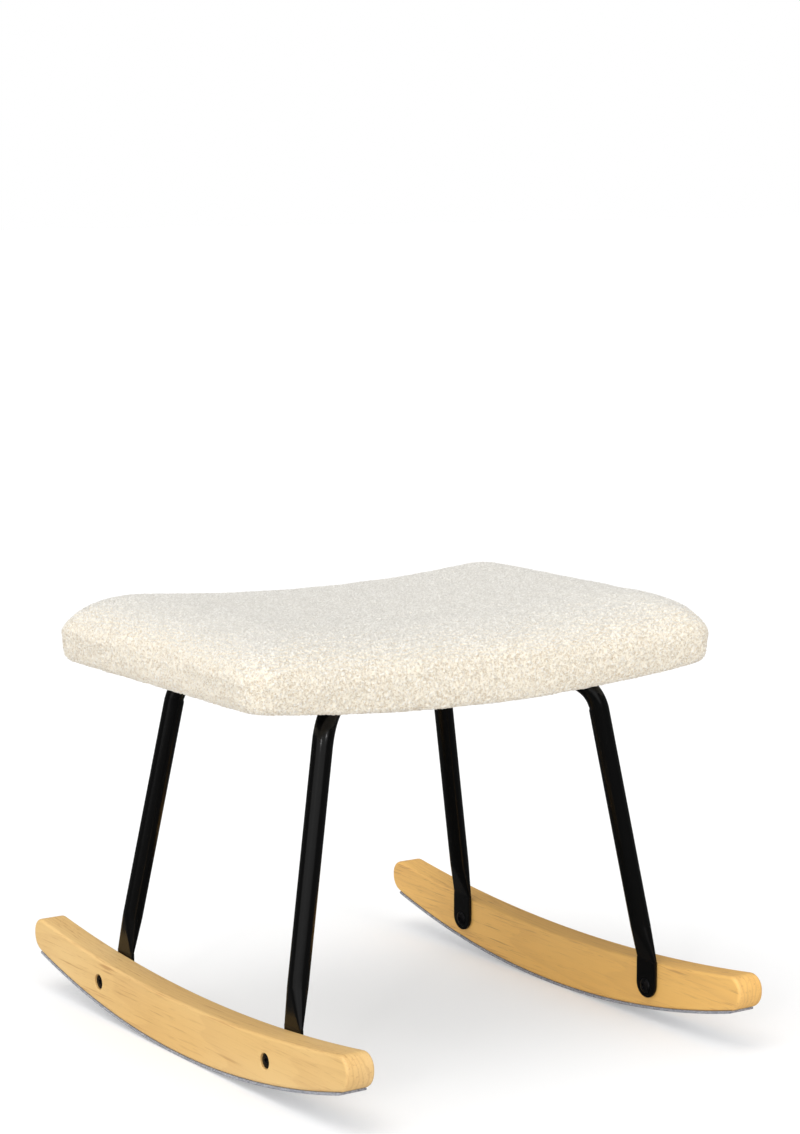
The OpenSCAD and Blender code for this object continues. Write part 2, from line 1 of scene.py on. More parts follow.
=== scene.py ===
"""Rocking footstool: its pieces, finishes and stage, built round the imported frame.

Laid out as an add-on, and run as a script. Every length is in metres, in the frame's own axes:
X from the left rocker to the right one, Y along the rockers to the back, Z up from the floor.
"""
import math
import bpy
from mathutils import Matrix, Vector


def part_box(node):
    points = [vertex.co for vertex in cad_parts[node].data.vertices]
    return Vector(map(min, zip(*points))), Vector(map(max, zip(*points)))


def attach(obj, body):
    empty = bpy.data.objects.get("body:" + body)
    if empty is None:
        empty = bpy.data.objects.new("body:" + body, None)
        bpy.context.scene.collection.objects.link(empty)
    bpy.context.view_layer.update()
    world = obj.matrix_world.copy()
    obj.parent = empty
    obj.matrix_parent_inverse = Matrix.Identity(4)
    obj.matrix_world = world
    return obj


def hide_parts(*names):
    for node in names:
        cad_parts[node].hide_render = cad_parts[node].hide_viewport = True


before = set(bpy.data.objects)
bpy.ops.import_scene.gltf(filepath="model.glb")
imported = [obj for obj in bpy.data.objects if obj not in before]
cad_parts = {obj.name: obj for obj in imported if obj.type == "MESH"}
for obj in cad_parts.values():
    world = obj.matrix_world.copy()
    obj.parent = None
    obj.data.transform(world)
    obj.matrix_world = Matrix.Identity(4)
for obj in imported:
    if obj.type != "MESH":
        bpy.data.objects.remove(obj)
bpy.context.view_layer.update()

from types import SimpleNamespace

import bmesh
import bpy
import numpy as np
from bpy.props import FloatProperty, FloatVectorProperty, PointerProperty
from mathutils import Vector

ROCKER_LOW, ROCKER_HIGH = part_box("rocker_right")
SEAT_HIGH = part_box("fabric_cover")[1]

bl_info = {
    "name": "Rocking footstool",
    "version": (1, 0, 0),
    "blender": (4, 5, 0),
    "location": "View3D > Sidebar > Footstool",
    "description": "Builds the pieces, finishes and stage of a rocking footstool",
    "category": "Object",
}

X_AXIS, Y_AXIS, Z_AXIS = np.eye(3)
SIDES = {"left": -1, "right": 1}
CORNERS = [(sx, sy) for sx in (-1, 1) for sy in (-1, 1)]
AROUND = ((1, 1), (-1, 1), (-1, -1), (1, -1))  # the corners in the order of a walk round them
FACETS = 48  # points round a screw or a nut
SOCKET_CHAMFER = 0.00012


# Sizes and colours


def length(name, description, default):
    """A length that a user can change."""
    return FloatProperty(
        name=name, description=description, default=default, min=0, unit="LENGTH", precision=4
    )


def srgb(red, green, blue):
    """Linear colour from one that is written as on a screen, from 0 to 255."""
    shares = [c / 255 for c in (red, green, blue)]
    return [c / 12.92 if c < 0.04045 else ((c + 0.055) / 1.055) ** 2.4 for c in shares]


def colour(name, description, red, green, blue):
    """A colour that a user can change, written as on a screen, from 0 to 255."""
    return FloatVectorProperty(
        name=name,
        description=description,
        default=(*srgb(red, green, blue), 1),
        size=4,
        min=0,
        max=1,
        subtype="COLOR",
    )


class FootstoolRockerSizes(bpy.types.PropertyGroup):
    """Sizes of the rockers and of the felt under them"""

    thickness: length("Thickness", "Thickness of a rocker board", ROCKER_HIGH.x - ROCKER_LOW.x)
    long: length("Length", "Length of a rocker from nose to nose", ROCKER_HIGH.y - ROCKER_LOW.y)
    outer_x: length("Outer face", "Distance from the middle to the outer face", ROCKER_HIGH.x)
    mid_height: length("Height at the middle", "Height of the wood at its middle", 0.057)
    under_radius: length("Under radius", "Radius of the curve that the wood rocks on", 1.213)
    over_radius: length("Over radius", "Radius of the hollow curve on top", 2.3)
    edge_radius: length("Edge radius", "Rounding of all the edges", 0.0035)
    nose_top: length("Nose top", "Rounding at the top of a nose", 0.016)
    nose_low: length("Nose low", "Rounding at the bottom of a nose", 0.019)
    felt_thickness: length("Felt thickness", "Thickness of the felt", 0.003)
    felt_end_gap: length("Felt end gap", "How far the felt stops short of the nose", 0.014)
    sink_diameter: length("Counterbore", "Diameter of the hole that hides a nut", 0.017)
    sink_depth: length("Counterbore depth", "Depth of the hole that hides a nut", 0.004)
    bore: length("Bore", "Diameter of the hole for the sleeve of a nut", 0.011)


class FootstoolFrameSizes(bpy.types.PropertyGroup):
    """Sizes of the tube frame and of its bolts"""

    tube: length("Tube", "Outer diameter of the steel tube", 0.022)
    bend_radius: length("Bend radius", "Radius of a bend at the middle of the tube", 0.042)
    knee_x: length("Knee across", "Distance from the middle to a knee, across", 0.1715)
    knee_y: length("Knee along", "Distance from the middle to a knee, along", 0.148)
    arm_height: length("Arm height", "Height of the middle of the arms", 0.385)
    foot_y: length("Foot", "Distance from the middle of a rocker to a foot bolt", 0.175)
    foot_height: length("Foot bolt height", "Height of a foot bolt over the floor", 0.040)
    foot_width: length("Foot width", "Width of the flattened foot", 0.032)
    foot_thickness: length("Foot thickness", "Thickness of the flattened foot", 0.0044)
    foot_tip: length("Foot tip", "Distance from the bolt to the tip of the foot", 0.0135)
    crease_rise: length("Crease", "Distance from the bolt up to the crease", 0.030)
    swell: length("Swelling", "Length over which the tube goes from flat to round", 0.040)
    foot_bolt: length("Foot bolt", "Diameter of a foot bolt", 0.008)
    foot_bolt_length: length("Foot bolt length", "Length of a foot bolt", 0.025)
    foot_head: length("Foot bolt head", "Diameter of the head of a foot bolt", 0.0165)
    foot_head_rise: length("Foot bolt head rise", "Height of the head of a foot bolt", 0.0028)
    foot_key: length("Foot bolt key", "Hex key size of a foot bolt", 0.005)
    sleeve: length("Sleeve", "Diameter of the sleeve of a nut", 0.0105)
    sleeve_length: length("Sleeve length", "Length of the sleeve of a nut", 0.018)
    sleeve_head: length("Sleeve head", "Diameter of the head of a nut", 0.0155)
    seat_bolt: length("Seat bolt", "Diameter of a seat bolt", 0.006)
    seat_bolt_length: length("Seat bolt length", "Length of a seat bolt", 0.040)
    seat_bolt_reach: length("Seat bolt reach", "Distance from the middle to a seat bolt", 0.110)
    seat_head: length("Seat bolt head", "Diameter of the head of a seat bolt", 0.012)
    seat_head_rise: length("Seat bolt head rise", "Height of the head of a seat bolt", 0.0033)
    seat_key: length("Seat bolt key", "Hex key size of a seat bolt", 0.004)
    washer: length("Washer", "Thickness of the curved washer under the tube", 0.002)


class FootstoolSeatSizes(bpy.types.PropertyGroup):
    """Sizes of the padded seat"""

    half_x: length("Half width", "Half the width of the seat", SEAT_HIGH.x)
    half_y: length("Half depth", "Half the depth of the seat", SEAT_HIGH.y)
    corner: length("Corner", "Radius of the upright corners", 0.028)
    board_height: length("Board height", "Height of the underside of the board", 0.400)
    bend: length("Board bend", "Radius that the underside of the board is bent to", 2.205)
    waist_rise: length("Widest line", "Height of the widest line over the board", 0.011)
    crown: length("Crown", "Height of the crown over the widest line", 0.054)
    crown_run: length("Crown run", "Distance from the edge to the top of the crown", 0.100)
    crown_extra: length("Crown extra", "Extra height of the middle of the seat", 0.005)
    roll_low: length("Roll", "How far the roll reaches below the widest line", 0.031)
    lean: length("Lean", "How far under the widest line the sides begin to lean in", 0.010)
    roll_corner: length("Roll corner", "Rounding of the lower edge of the roll", 0.011)
    roll_hang: length("Roll hang", "How much lower the roll hangs at the two ends", 0.0015)
    roll_flat: length("Roll flat", "Width of the flat under the roll", 0.008)
    hem_start: length("Hem start", "Distance from the edge to the flat hem", 0.045)
    hem_width: length("Hem width", "Width of the hem on the board", 0.025)
    hem_rise: length("Hem", "How far the hem lies below the widest line", 0.0133)
    loop: length("Loop", "Size of one curl of the looped fabric", 0.0030)
    loop_rise: length("Loop height", "Height of the curls of the looped fabric", 0.0023)
    dust_inset: length("Dust cover inset", "Distance from the edge to the dust cover", 0.050)
    dust_hole: length("Dust cover hole", "Diameter of its openings round the spacers", 0.024)
    staple_pitch: length("Staple pitch", "Greatest distance between two staples", 0.060)


class FootstoolColours(bpy.types.PropertyGroup):
    """Colours of the finishes"""

    wood_light: colour("Light wood", "Early wood of the rockers", 243, 208, 146)
    wood_mid: colour("Middle wood", "Common tone of the rockers", 234, 192, 122)
    # Partly a deeper coloured board and partly painted light: brighter and warmer, to make up
    # for the seat's shade on the right rocker.
    wood_warm_and_painted_light: colour("Warm wood", "Tone of a deeper coloured board", 248, 192, 100)
    wood_dark: colour("Dark wood", "Late wood and end grain of the rockers", 191, 141, 87)
    wood_pore: colour("Wood pores", "Pores and streaks of the rockers", 158, 112, 66)
    felt_light: colour("Light felt", "Pale fibres of the felt", 196, 198, 206)
    felt_dark: colour("Dark felt", "Dark fibres of the felt", 96, 100, 112)
    coat: colour("Powder coat", "Coat of the tube frame", 6, 6, 6)
    coat_worn: colour("Worn coat", "Coat where it is rubbed", 20, 19, 18)
    bolt: colour("Blackened steel", "Bolts and nuts", 30, 30, 33)
    bolt_edge: colour("Rubbed steel", "Blackened steel where the key rubs", 96, 95, 96)
    zinc: colour("Zinc", "Zinc plated steel", 190, 192, 194)
    zinc_dull: colour("Dull zinc", "Patches of the zinc", 150, 152, 150)
    nylon: colour("Nylon", "Spacers under the board", 34, 34, 36)
    ply_face: colour("Plywood", "Face veneer of the board", 214, 178, 128)
    ply_edge: colour("Plywood edge", "Dark plies of the board", 160, 112, 66)
    fabric: colour("Fabric", "Body of the looped fabric", 251, 242, 223)
    # Painted highlight: a paler colour for the tops of the curls.
    fabric_tip_painted_highlight: colour("Fabric tips", "Tops of the curls", 251, 249, 243)
    # Painted shade: a darker, cooler body for the crown than for the sides, standing in for how
    # the light falls on the top.
    fabric_crown_painted_shade: colour("Fabric on top", "Cooler body of the fabric on the crown", 224, 220, 211)
    # Painted shade: the colours that the gaps between the curls are darkened towards, on the
    # crown and on the sides.
    fabric_shade: colour("Fabric shade", "Gaps between the curls on the crown", 184, 178, 167)
    fabric_gap_painted_shade: colour("Fabric depths", "Gaps between the curls on the sides", 196, 168, 129)
    dust_cloth: colour("Dust cloth", "Thin cloth under the seat", 26, 26, 28)
    floor: colour("Floor", "Floor and backdrop", 236, 236, 236)


# Shared geometry


def unit(vector):
    """The vector at length 1."""
    return np.asarray(vector, float) / np.linalg.norm(vector)


def turned(vectors, axis, angle):
    """Vectors turned round an axis through the origin."""
    vectors = np.asarray(vectors, float)
    axis = unit(axis)
    along = np.outer(vectors @ axis, axis).reshape(vectors.shape)
    across = np.cross(axis, vectors)
    return along + (vectors - along) * math.cos(angle) + across * math.sin(angle)


def loft(rings, wrap=False):
    """Points and faces of a skin over rings, shut by a fan at each end unless it wraps round."""
    rings = np.asarray(rings, float)
    count, size = rings.shape[:2]
    points = rings.reshape(-1, 3)
    steps = np.arange(count if wrap else count - 1)
    low = (steps[:, None] * size + np.arange(size)).ravel()
    low_next = (steps[:, None] * size + (np.arange(size) + 1) % size).ravel()
    high = (low + size) % (count * size)
    high_next = (low_next + size) % (count * size)
    faces = np.stack([low, low_next, high_next, high], 1).tolist()
    if not wrap:
        first, last = len(points), len(points) + 1
        points = np.vstack([points, rings[0].mean(0), rings[-1].mean(0)])
        top = (count - 1) * size
        for i in range(size):
            after = (i + 1) % size
            faces.append([first, after, i])
            faces.append([last, top + i, top + after])
    return points, faces


def circle(sides):
    """Cosines and sines of evenly spaced angles."""
    angles = np.arange(sides) * (2 * math.pi / sides)
    return np.cos(angles), np.sin(angles)


def lathe(profile, sides=64):
    """Points and faces of a turned solid, from its radii and heights, from end to end."""
    cos, sin = circle(sides)
    rings = [np.stack([r * cos, r * sin, np.full(sides, z)], 1) for r, z in profile]
    return loft(rings)


def rounded_edges(low, high, edge, steps):
    """Places and inward moves of the outlines that round a board's two edges."""
    turns = np.linspace(0, math.pi / 2, steps)
    first = [(low + edge - edge * math.sin(a), edge - edge * math.cos(a)) for a in turns[::-1]]
    last = [(high - edge + edge * math.sin(a), edge - edge * math.cos(a)) for a in turns]
    return first, last


def set_up(points, place, z_dir, x_dir):
    """Points moved so that their own Z lies along z_dir at a place."""
    z_dir = unit(z_dir)
    x_dir = unit(np.asarray(x_dir, float) - z_dir * np.dot(x_dir, z_dir))
    return place + points @ np.stack([x_dir, np.cross(z_dir, x_dir), z_dir])


def joined(parts):
    """One set of points and faces from several."""
    points, faces, before = [], [], 0
    for part_points, part_faces in parts:
        points.append(part_points)
        faces += [[before + i for i in face] for face in part_faces]
        before += len(part_points)
    return np.vstack(points), faces


def new_object(name, points, faces):
    """A linked mesh object whose faces look outwards."""
    mesh = bpy.data.meshes.new(name)
    mesh.from_pydata(np.asarray(points, float).tolist(), [], faces)
    shape = bmesh.new()
    shape.from_mesh(mesh)
    bmesh.ops.remove_doubles(shape, verts=shape.verts, dist=1e-7)
    bmesh.ops.recalc_face_normals(shape, faces=shape.faces)
    shape.to_mesh(mesh)
    shape.free()
    made = bpy.data.objects.new(name, mesh)
    bpy.context.scene.collection.objects.link(made)
    return made


def settle(piece):
    """Gives the piece the mesh that its modifiers make, and takes the modifiers off."""
    depsgraph = bpy.context.evaluated_depsgraph_get()
    mesh = bpy.data.meshes.new_from_object(piece.evaluated_get(depsgraph))
    piece.modifiers.clear()
    piece.data = mesh
    mesh.name = piece.name


def modify(piece, kind, **settings):
    """Runs a modifier with its settings on the piece."""
    modifier = piece.modifiers.new(kind.lower(), kind)
    for name, value in settings.items():
        setattr(modifier, name, value)
    settle(piece)


def carve(piece, points, faces, operation="DIFFERENCE"):
    """Cuts a shape out of the piece, or joins it on."""
    tool = new_object(f"{piece.name}_tool", points, faces)
    modify(piece, "BOOLEAN", operation=operation, solver="EXACT", object=tool)
    bpy.data.objects.remove(tool)


def smooth(piece, sharp_over=35):
    """Shades the piece smooth, apart from edges that turn by more than an angle in degrees."""
    piece.data.shade_smooth()
    piece.data.set_sharp_from_angle(angle=math.radians(sharp_over))


def dress(piece, material, slot, *nodes):
    """Gives the piece its finish, and puts it in the place of CAD nodes."""
    piece.data.materials.clear()
    piece.data.materials.append(material)
    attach(piece, "root")
    if nodes:
        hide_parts(*nodes)
    return piece


def paint(material, *nodes):
    """Gives CAD nodes that stay a better finish."""
    for name in nodes:
        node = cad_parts[name]
        if not node.material_slots:
            node.data.materials.append(material)
        for slot in node.material_slots:
            slot.material = material


# Noise over points, the same on each run


def eased(share):
    """A share from 0 to 1, with soft ends."""
    return share * share * (3 - 2 * share)


def lattice_random(cells, salt):
    """A number from 0 to 1 for each whole cell."""
    c = cells.astype(np.int64).astype(np.uint64)
    mixed = c[..., 0] * np.uint64(73856093) ^ c[..., 1] * np.uint64(19349663)
    mixed ^= c[..., 2] * np.uint64(83492791) ^ np.uint64(salt * 2654435761)
    mixed ^= mixed >> np.uint64(13)
    mixed *= np.uint64(1274126177)
    mixed ^= mixed >> np.uint64(16)
    mixed *= np.uint64(2246822519)
    mixed ^= mixed >> np.uint64(15)
    return (mixed & np.uint64(0xFFFFFF)).astype(np.float64) / 0xFFFFFF


def soft_noise(points, size, salt):
    """Smooth noise from -1 to 1, whose swells are about twice the size across."""
    scaled = points / size
    cell = np.floor(scaled)
    share = eased(scaled - cell)
    total = np.zeros(len(points))
    for corner in np.ndindex(2, 2, 2):
        offset = np.array(corner, float)
        weight = np.prod(np.where(offset > 0, share, 1 - share), axis=1)
        total += weight * lattice_random(cell + offset, salt)
    return total * 2 - 1


def curls(points, size, salt):
    """Height from 0 to 1 of packed round curls, and a number from 0 to 1 for each curl."""
    scaled = points / size
    home = np.floor(scaled)
    nearest = np.full(len(points), 9.0)
    second = np.full(len(points), 9.0)
    owner = np.zeros(len(points))
    for step in np.ndindex(3, 3, 3):
        cell = home + np.array(step, float) - 1
        middle = cell + np.stack([lattice_random(cell, salt + k) for k in (0, 1, 2)], 1)
        gap = np.linalg.norm(scaled - middle, axis=1)
        closer = gap < nearest
        second = np.where(closer, nearest, np.minimum(second, gap))
        owner = np.where(closer, lattice_random(cell, salt + 3), owner)
        nearest = np.where(closer, gap, nearest)
    dome = np.sqrt(np.clip(1 - (nearest / 0.9) ** 2, 0, 1))
    groove = np.clip((second - nearest) / 0.35, 0, 1)
    return dome * (0.35 + 0.65 * groove), owner


# Finishes


class Wiring:
    """The nodes of a material or of the world, cleared and wired anew"""

    def __init__(self, owner):
        owner.use_nodes = True
        self.tree = owner.node_tree
        self.tree.nodes.clear()

    def add(self, kind, inputs=None, **settings):
        """A new node with its settings, and its inputs set or wired."""
        node = self.tree.nodes.new(kind)
        for name, value in settings.items():
            setattr(node, name, value)
        for name, value in (inputs or {}).items():
            self.feed(node.inputs[name], value)
        return node

    def feed(self, socket, value):
        """Wires an output to the socket, or sets its value."""
        if isinstance(value, bpy.types.NodeSocket):
            self.tree.links.new(value, socket)
        else:
            socket.default_value = value

    def grey(self, kind, shade, **inputs):
        """A shader of one grey shade, with a strength if it shines."""
        return self.add(kind, {"Color": (shade, shade, shade, 1), **inputs}).outputs[0]

    def by_ray(self, seen, glossy, other):
        """Shows the camera, then reflections, then all other light their own shader."""
        path = self.add("ShaderNodeLightPath").outputs
        inputs = {0: path["Is Glossy Ray"], 1: other, 2: glossy}
        inner = self.add("ShaderNodeMixShader", inputs).outputs[0]
        inputs = {0: path["Is Camera Ray"], 1: inner, 2: seen}
        return self.add("ShaderNodeMixShader", inputs).outputs[0]


class Finish(Wiring):
    """A material of a piece. Its scales are in swells to a metre"""

    def __init__(self, name, settings=None):
        self.material = bpy.data.materials.new(name)
        super().__init__(self.material)
        self.shader = self.add("ShaderNodeBsdfPrincipled", settings)
        self.add("ShaderNodeOutputMaterial", {"Surface": self.shader.outputs[0]})
        self.place = self.add("ShaderNodeTexCoord").outputs["Object"]

    def parts(self, vector):
        """The X, Y and Z of a vector."""
        return self.add("ShaderNodeSeparateXYZ", {"Vector": vector}).outputs

    def facing(self):
        """The X, Y and Z of the way that the surface faces."""
        return self.parts(self.add("ShaderNodeNewGeometry").outputs["Normal"])

    def stored(self, name):
        """A number that is stored on the points of the mesh."""
        return self.add("ShaderNodeAttribute", attribute_name=name).outputs["Fac"]

    def stretched(self, scale, offset=(0, 0, 0)):
        """Coordinates scaled along each axis, then moved."""
        inputs = {"Vector": self.place, "Scale": scale, "Location": offset}
        return self.add("ShaderNodeMapping", inputs).outputs[0]

    def noise(self, place, scale, detail=2.0, roughness=0.5, distortion=0.0):
        """Cloudy pattern from 0 to 1."""
        inputs = {
            "Vector": place,
            "Scale": scale,
            "Detail": detail,
            "Roughness": roughness,
            "Distortion": distortion,
        }
        return self.add("ShaderNodeTexNoise", inputs).outputs[0]

    def streaks(self, scale, detail, roughness=0.5, distortion=0.0, offset=(0, 0, 0)):
        """Cloudy pattern from 0 to 1, with its own scale along each axis."""
        return self.noise(self.stretched(scale, offset), 1.0, detail, roughness, distortion)

    def cells(self, place, scale):
        """Distance from the middles of scattered cells."""
        inputs = {"Vector": place, "Scale": scale}
        return self.add("ShaderNodeTexVoronoi", inputs).outputs["Distance"]

    def maths(self, operation, first, second=0.0, third=0.0):
        """A sum on one value, two or three."""
        node = self.add("ShaderNodeMath", operation=operation)
        for socket, value in zip(node.inputs, (first, second, third)):
            self.feed(socket, value)
        return node.outputs[0]

    def times(self, first, second):
        """One value times another."""
        return self.maths("MULTIPLY", first, second)

    def swung(self, value, swing, base):
        """The value times a swing, on top of a base."""
        return self.maths("MULTIPLY_ADD", value, swing, base)

    def between(self, value, low, high):
        """How far the value has come from low to high, from 0 to 1, with soft ends."""
        inputs = {"Value": value, "From Min": low, "From Max": high}
        kind = "SMOOTHSTEP"
        return self.add("ShaderNodeMapRange", inputs, interpolation_type=kind).outputs[0]

    def mixed(self, share, first, second):
        """Two colours mixed by a share."""
        node = self.add("ShaderNodeMix", data_type="RGBA")
        for index, value in ((0, share), (6, first), (7, second)):
            self.feed(node.inputs[index], value)
        return node.outputs[2]

    def tinted(self, body, mask, share, tint):
        """A colour with a share of another where the mask is 1: the thing's own marks, or
        painted shade on the looped fabric.
        """
        return self.mixed(self.times(mask, share), body, tint)

    def bump(self, height, distance, strength=1.0, under=None):
        """Small relief, whose height from 0 to 1 stands for a distance."""
        inputs = {"Height": height, "Distance": distance, "Strength": strength}
        if under is not None:
            inputs["Normal"] = under
        return self.add("ShaderNodeBump", inputs).outputs[0]

    def wear(self, **sockets):
        """Wires values to the shader's sockets, whose names have _ for a space."""
        for name, value in sockets.items():
            self.feed(self.shader.inputs[name.replace("_", " ")], value)
        return self.material


def wood_finish(name, colours, pith, salt, warmth_and_painted_light):
    """Lacquered pale wood: growth rings round a far pith, fibres, pores and end grain."""
    f = Finish(name)
    rings_to_a_metre = 165.0
    warp = f.noise(f.stretched((1, 0.22, 1), (salt, salt, salt)), 9.0, 3.0, 0.55)
    shift = f.swung(warp, 0.010, -0.005)
    from_pith = f.parts(f.stretched((1, 0.03, 1), pith))
    far = f.maths("SQRT", f.maths("ADD", *(f.maths("POWER", from_pith[k], 2.0) for k in (0, 2))))
    uneven = f.streaks((70, 0.6, 24), 1.0, offset=(salt * 5, 0, 0))
    shift = f.swung(uneven, 0.014, shift)
    rings = f.maths("ADD", f.maths("ADD", far, from_pith[1]), shift)
    phase = f.maths("FRACT", f.times(rings, rings_to_a_metre))
    late = f.times(f.between(phase, 0.55, 0.93), f.between(phase, 1.0, 0.95))
    fibre = f.streaks((520, 9, 520), 4.0, 0.6)
    streak = f.streaks((95, 3.2, 95), 3.0, 0.6, offset=(salt * 3, 0, 0))
    patch = f.streaks((6, 2.2, 6), 2.0, offset=(salt * 7, 0, 0))
    pore = f.between(f.streaks((1500, 42, 1500), 1.0), 0.64, 0.74)
    pore = f.times(pore, f.between(streak, 0.35, 0.7))
    dash = f.streaks((430, 15, 430), 2.0, 0.55, offset=(salt * 9, 0, 0))
    dash = f.times(f.between(dash, 0.56, 0.74), f.between(streak, 0.3, 0.6))
    face = f.facing()
    end_grain = f.between(f.maths("ABSOLUTE", face[1]), 0.35, 0.95)
    flat = f.between(f.maths("ABSOLUTE", face[2]), 0.4, 0.95)
    ring_share = f.swung(flat, 0.06, f.swung(end_grain, 0.16, 0.12))
    body = f.mixed(f.between(patch, 0.3, 0.7), colours.wood_mid, colours.wood_light)
    # Partly the board's own deeper tone, partly painted light against the seat's shade.
    body = f.mixed(warmth_and_painted_light, body, colours.wood_warm_and_painted_light)
    tints = (
        (dash, 0.75),
        (f.between(streak, 0.45, 0.8), 0.22),
        (late, ring_share),
        (flat, 0.06),
        (end_grain, 0.14),
        (f.between(fibre, 0.5, 0.9), 0.25),
    )
    for mask, share in tints:
        body = f.tinted(body, mask, share, colours.wood_dark)
    relief = f.maths("SUBTRACT", fibre, f.times(pore, 0.8))
    return f.wear(
        Base_Color=f.tinted(body, pore, 0.5, colours.wood_pore),
        Roughness=f.swung(fibre, 0.16, 0.34),
        Normal=f.bump(relief, 0.00006, 0.6),
    )


def felt_finish(colours):
    """Needle felt: tangled pale and dark fibres."""
    f = Finish("blue grey felt")
    fine = f.noise(f.place, 1500.0, 2.0, 0.7)
    fleck = f.noise(f.place, 620.0, 3.0, 0.75, 1.2)
    cloud = f.noise(f.place, 90.0, 2.0)
    share = f.maths("ADD", f.times(fleck, 0.75), f.times(fine, 0.25))
    body = f.mixed(f.between(share, 0.38, 0.62), colours.felt_dark, colours.felt_light)
    return f.wear(
        Base_Color=f.tinted(body, f.between(cloud, 0.3, 0.8), 0.35, colours.felt_dark),
        Roughness=f.swung(fine, 0.1, 0.88),
        Normal=f.bump(fleck, 0.0006, 0.9, f.bump(fine, 0.0003, 0.5)),
        Sheen_Weight=0.25,
    )


def coat_finish(colours):
    """Black powder coat: a fine orange peel, a few rubbed places."""
    f = Finish("black powder coat", {"Specular IOR Level": 0.28})
    peel = f.noise(f.place, 420.0, 2.0, 0.45)
    grit = f.noise(f.place, 2600.0, 2.0, 0.6)
    rubbed = f.between(f.noise(f.place, 38.0, 5.0, 0.7, 0.6), 0.66, 0.82)
    return f.wear(
        Base_Color=f.tinted(colours.coat, rubbed, 0.35, colours.coat_worn),
        Roughness=f.swung(rubbed, 0.12, f.swung(grit, 0.08, 0.15)),
        Normal=f.bump(peel, 0.00012, 0.5, f.bump(grit, 0.00002, 0.4)),
    )


def steel_finish(name, colour_main, colour_edge, rough, marks_scale):
    """Plated or blackened steel: tool marks and rubbed edges."""
    f = Finish(name, {"Metallic": 0.85})
    marks = f.streaks((marks_scale, marks_scale, marks_scale * 0.12), 3.0, 0.6)
    cloud = f.noise(f.place, 310.0, 3.0, 0.6)
    worn = f.between(f.maths("ADD", f.times(marks, 0.5), f.times(cloud, 0.5)), 0.5, 0.72)
    return f.wear(
        Base_Color=f.tinted(colour_main, worn, 0.6, colour_edge),
        Roughness=f.swung(cloud, 0.18, rough),
        Normal=f.bump(marks, 0.00003, 0.5),
    )


def nylon_finish(colours):
    """Moulded nylon, matte."""
    f = Finish("moulded nylon")
    grain = f.noise(f.place, 1900.0, 2.0, 0.6)
    return f.wear(
        Base_Color=f.tinted(colours.nylon, grain, 0.3, colours.coat_worn),
        Roughness=f.swung(grain, 0.15, 0.5),
        Normal=f.bump(grain, 0.00004, 0.5),
    )


def plywood_finish(colours, bend, low):
    """Bent plywood: plies along the edge, veneer grain on the faces."""
    f = Finish("bent plywood")
    two_plies = 0.0034
    place = f.parts(f.place)
    rise = f.maths("DIVIDE", f.maths("POWER", place[0], 2.0), 2 * bend)
    depth = f.maths("SUBTRACT", f.maths("SUBTRACT", place[2], low), rise)
    ply = f.maths("FRACT", f.maths("DIVIDE", depth, two_plies))
    grain = f.streaks((14, 420, 420), 4.0, 0.6)
    figure = f.streaks((3, 26, 26), 3.0, 0.6, 0.8)
    edge = f.between(f.maths("ABSOLUTE", f.facing()[2]), 0.8, 0.4)
    tints = (
        (f.between(figure, 0.4, 0.7), 0.35),
        (f.times(f.between(ply, 0.45, 0.55), edge), 0.7),
        (f.between(grain, 0.5, 0.8), 0.4),
    )
    body = colours.ply_face
    for mask, share in tints:
        body = f.tinted(body, mask, share, colours.ply_edge)
    return f.wear(
        Base_Color=body,
        Roughness=f.swung(grain, 0.2, 0.6),
        Normal=f.bump(grain, 0.00008, 0.6),
    )


def looped_finish(colours):
    """Looped cream fabric: painted highlight on the curl tips, painted shade in the gaps (warm
    on the sides), a crown painted darker and cooler than the sides, yarn relief and a soft
    sheen.
    """
    f = Finish("looped cream fabric", {"Sheen Weight": 0.3, "Sheen Roughness": 0.6})
    # Painted shade: faces that look up are given the darker, cooler crown colours.
    painted_crown_shade = f.between(f.facing()[2], 0.5, 0.98)
    yarn = f.noise(f.place, 900.0, 3.0, 0.65, 1.4)
    wander = f.noise(f.place, 400.0, 1.6, 0.5, 0.9)
    breaks = f.noise(f.place, 300.0, 2.0, 0.6)
    off = f.maths("ABSOLUTE", f.maths("SUBTRACT", wander, 0.5))
    gap = f.times(f.between(off, 0.08, 0.01), f.between(breaks, 0.38, 0.54))
    height = f.maths("ADD", f.stored("pile"), f.swung(yarn, 0.7, -0.35))
    # Painted shade: a darker, cooler body on the crown than on the sides.
    body = f.mixed(painted_crown_shade, colours.fabric, colours.fabric_crown_painted_shade)
    # Painted highlight: paler colour on the tops of the curls.
    body = f.mixed(f.between(height, 0.5, 1.0), body, colours.fabric_tip_painted_highlight)
    # Painted shade colour for the gaps, cooler on the crown; it also gives the random darker
    # curls their tone.
    painted_shade_and_tone = f.mixed(painted_crown_shade, colours.fabric_gap_painted_shade, colours.fabric_shade)
    # Painted shade in the low places between the curls and along the gaps between loops; the
    # last row is a real tone that differs from curl to curl.
    tints = (
        (f.between(height, 0.2, -0.2), 0.35),
        (gap, f.swung(painted_crown_shade, -0.2, 0.62)),
        (f.between(f.stored("tone"), 0.85, 1.0), 0.2),
    )
    for mask, share in tints:
        body = f.tinted(body, mask, share, painted_shade_and_tone)
    return f.wear(
        Base_Color=body,
        Roughness=f.swung(yarn, 0.1, 0.86),
        Normal=f.bump(f.maths("SUBTRACT", yarn, gap), 0.0008, 0.6),
    )


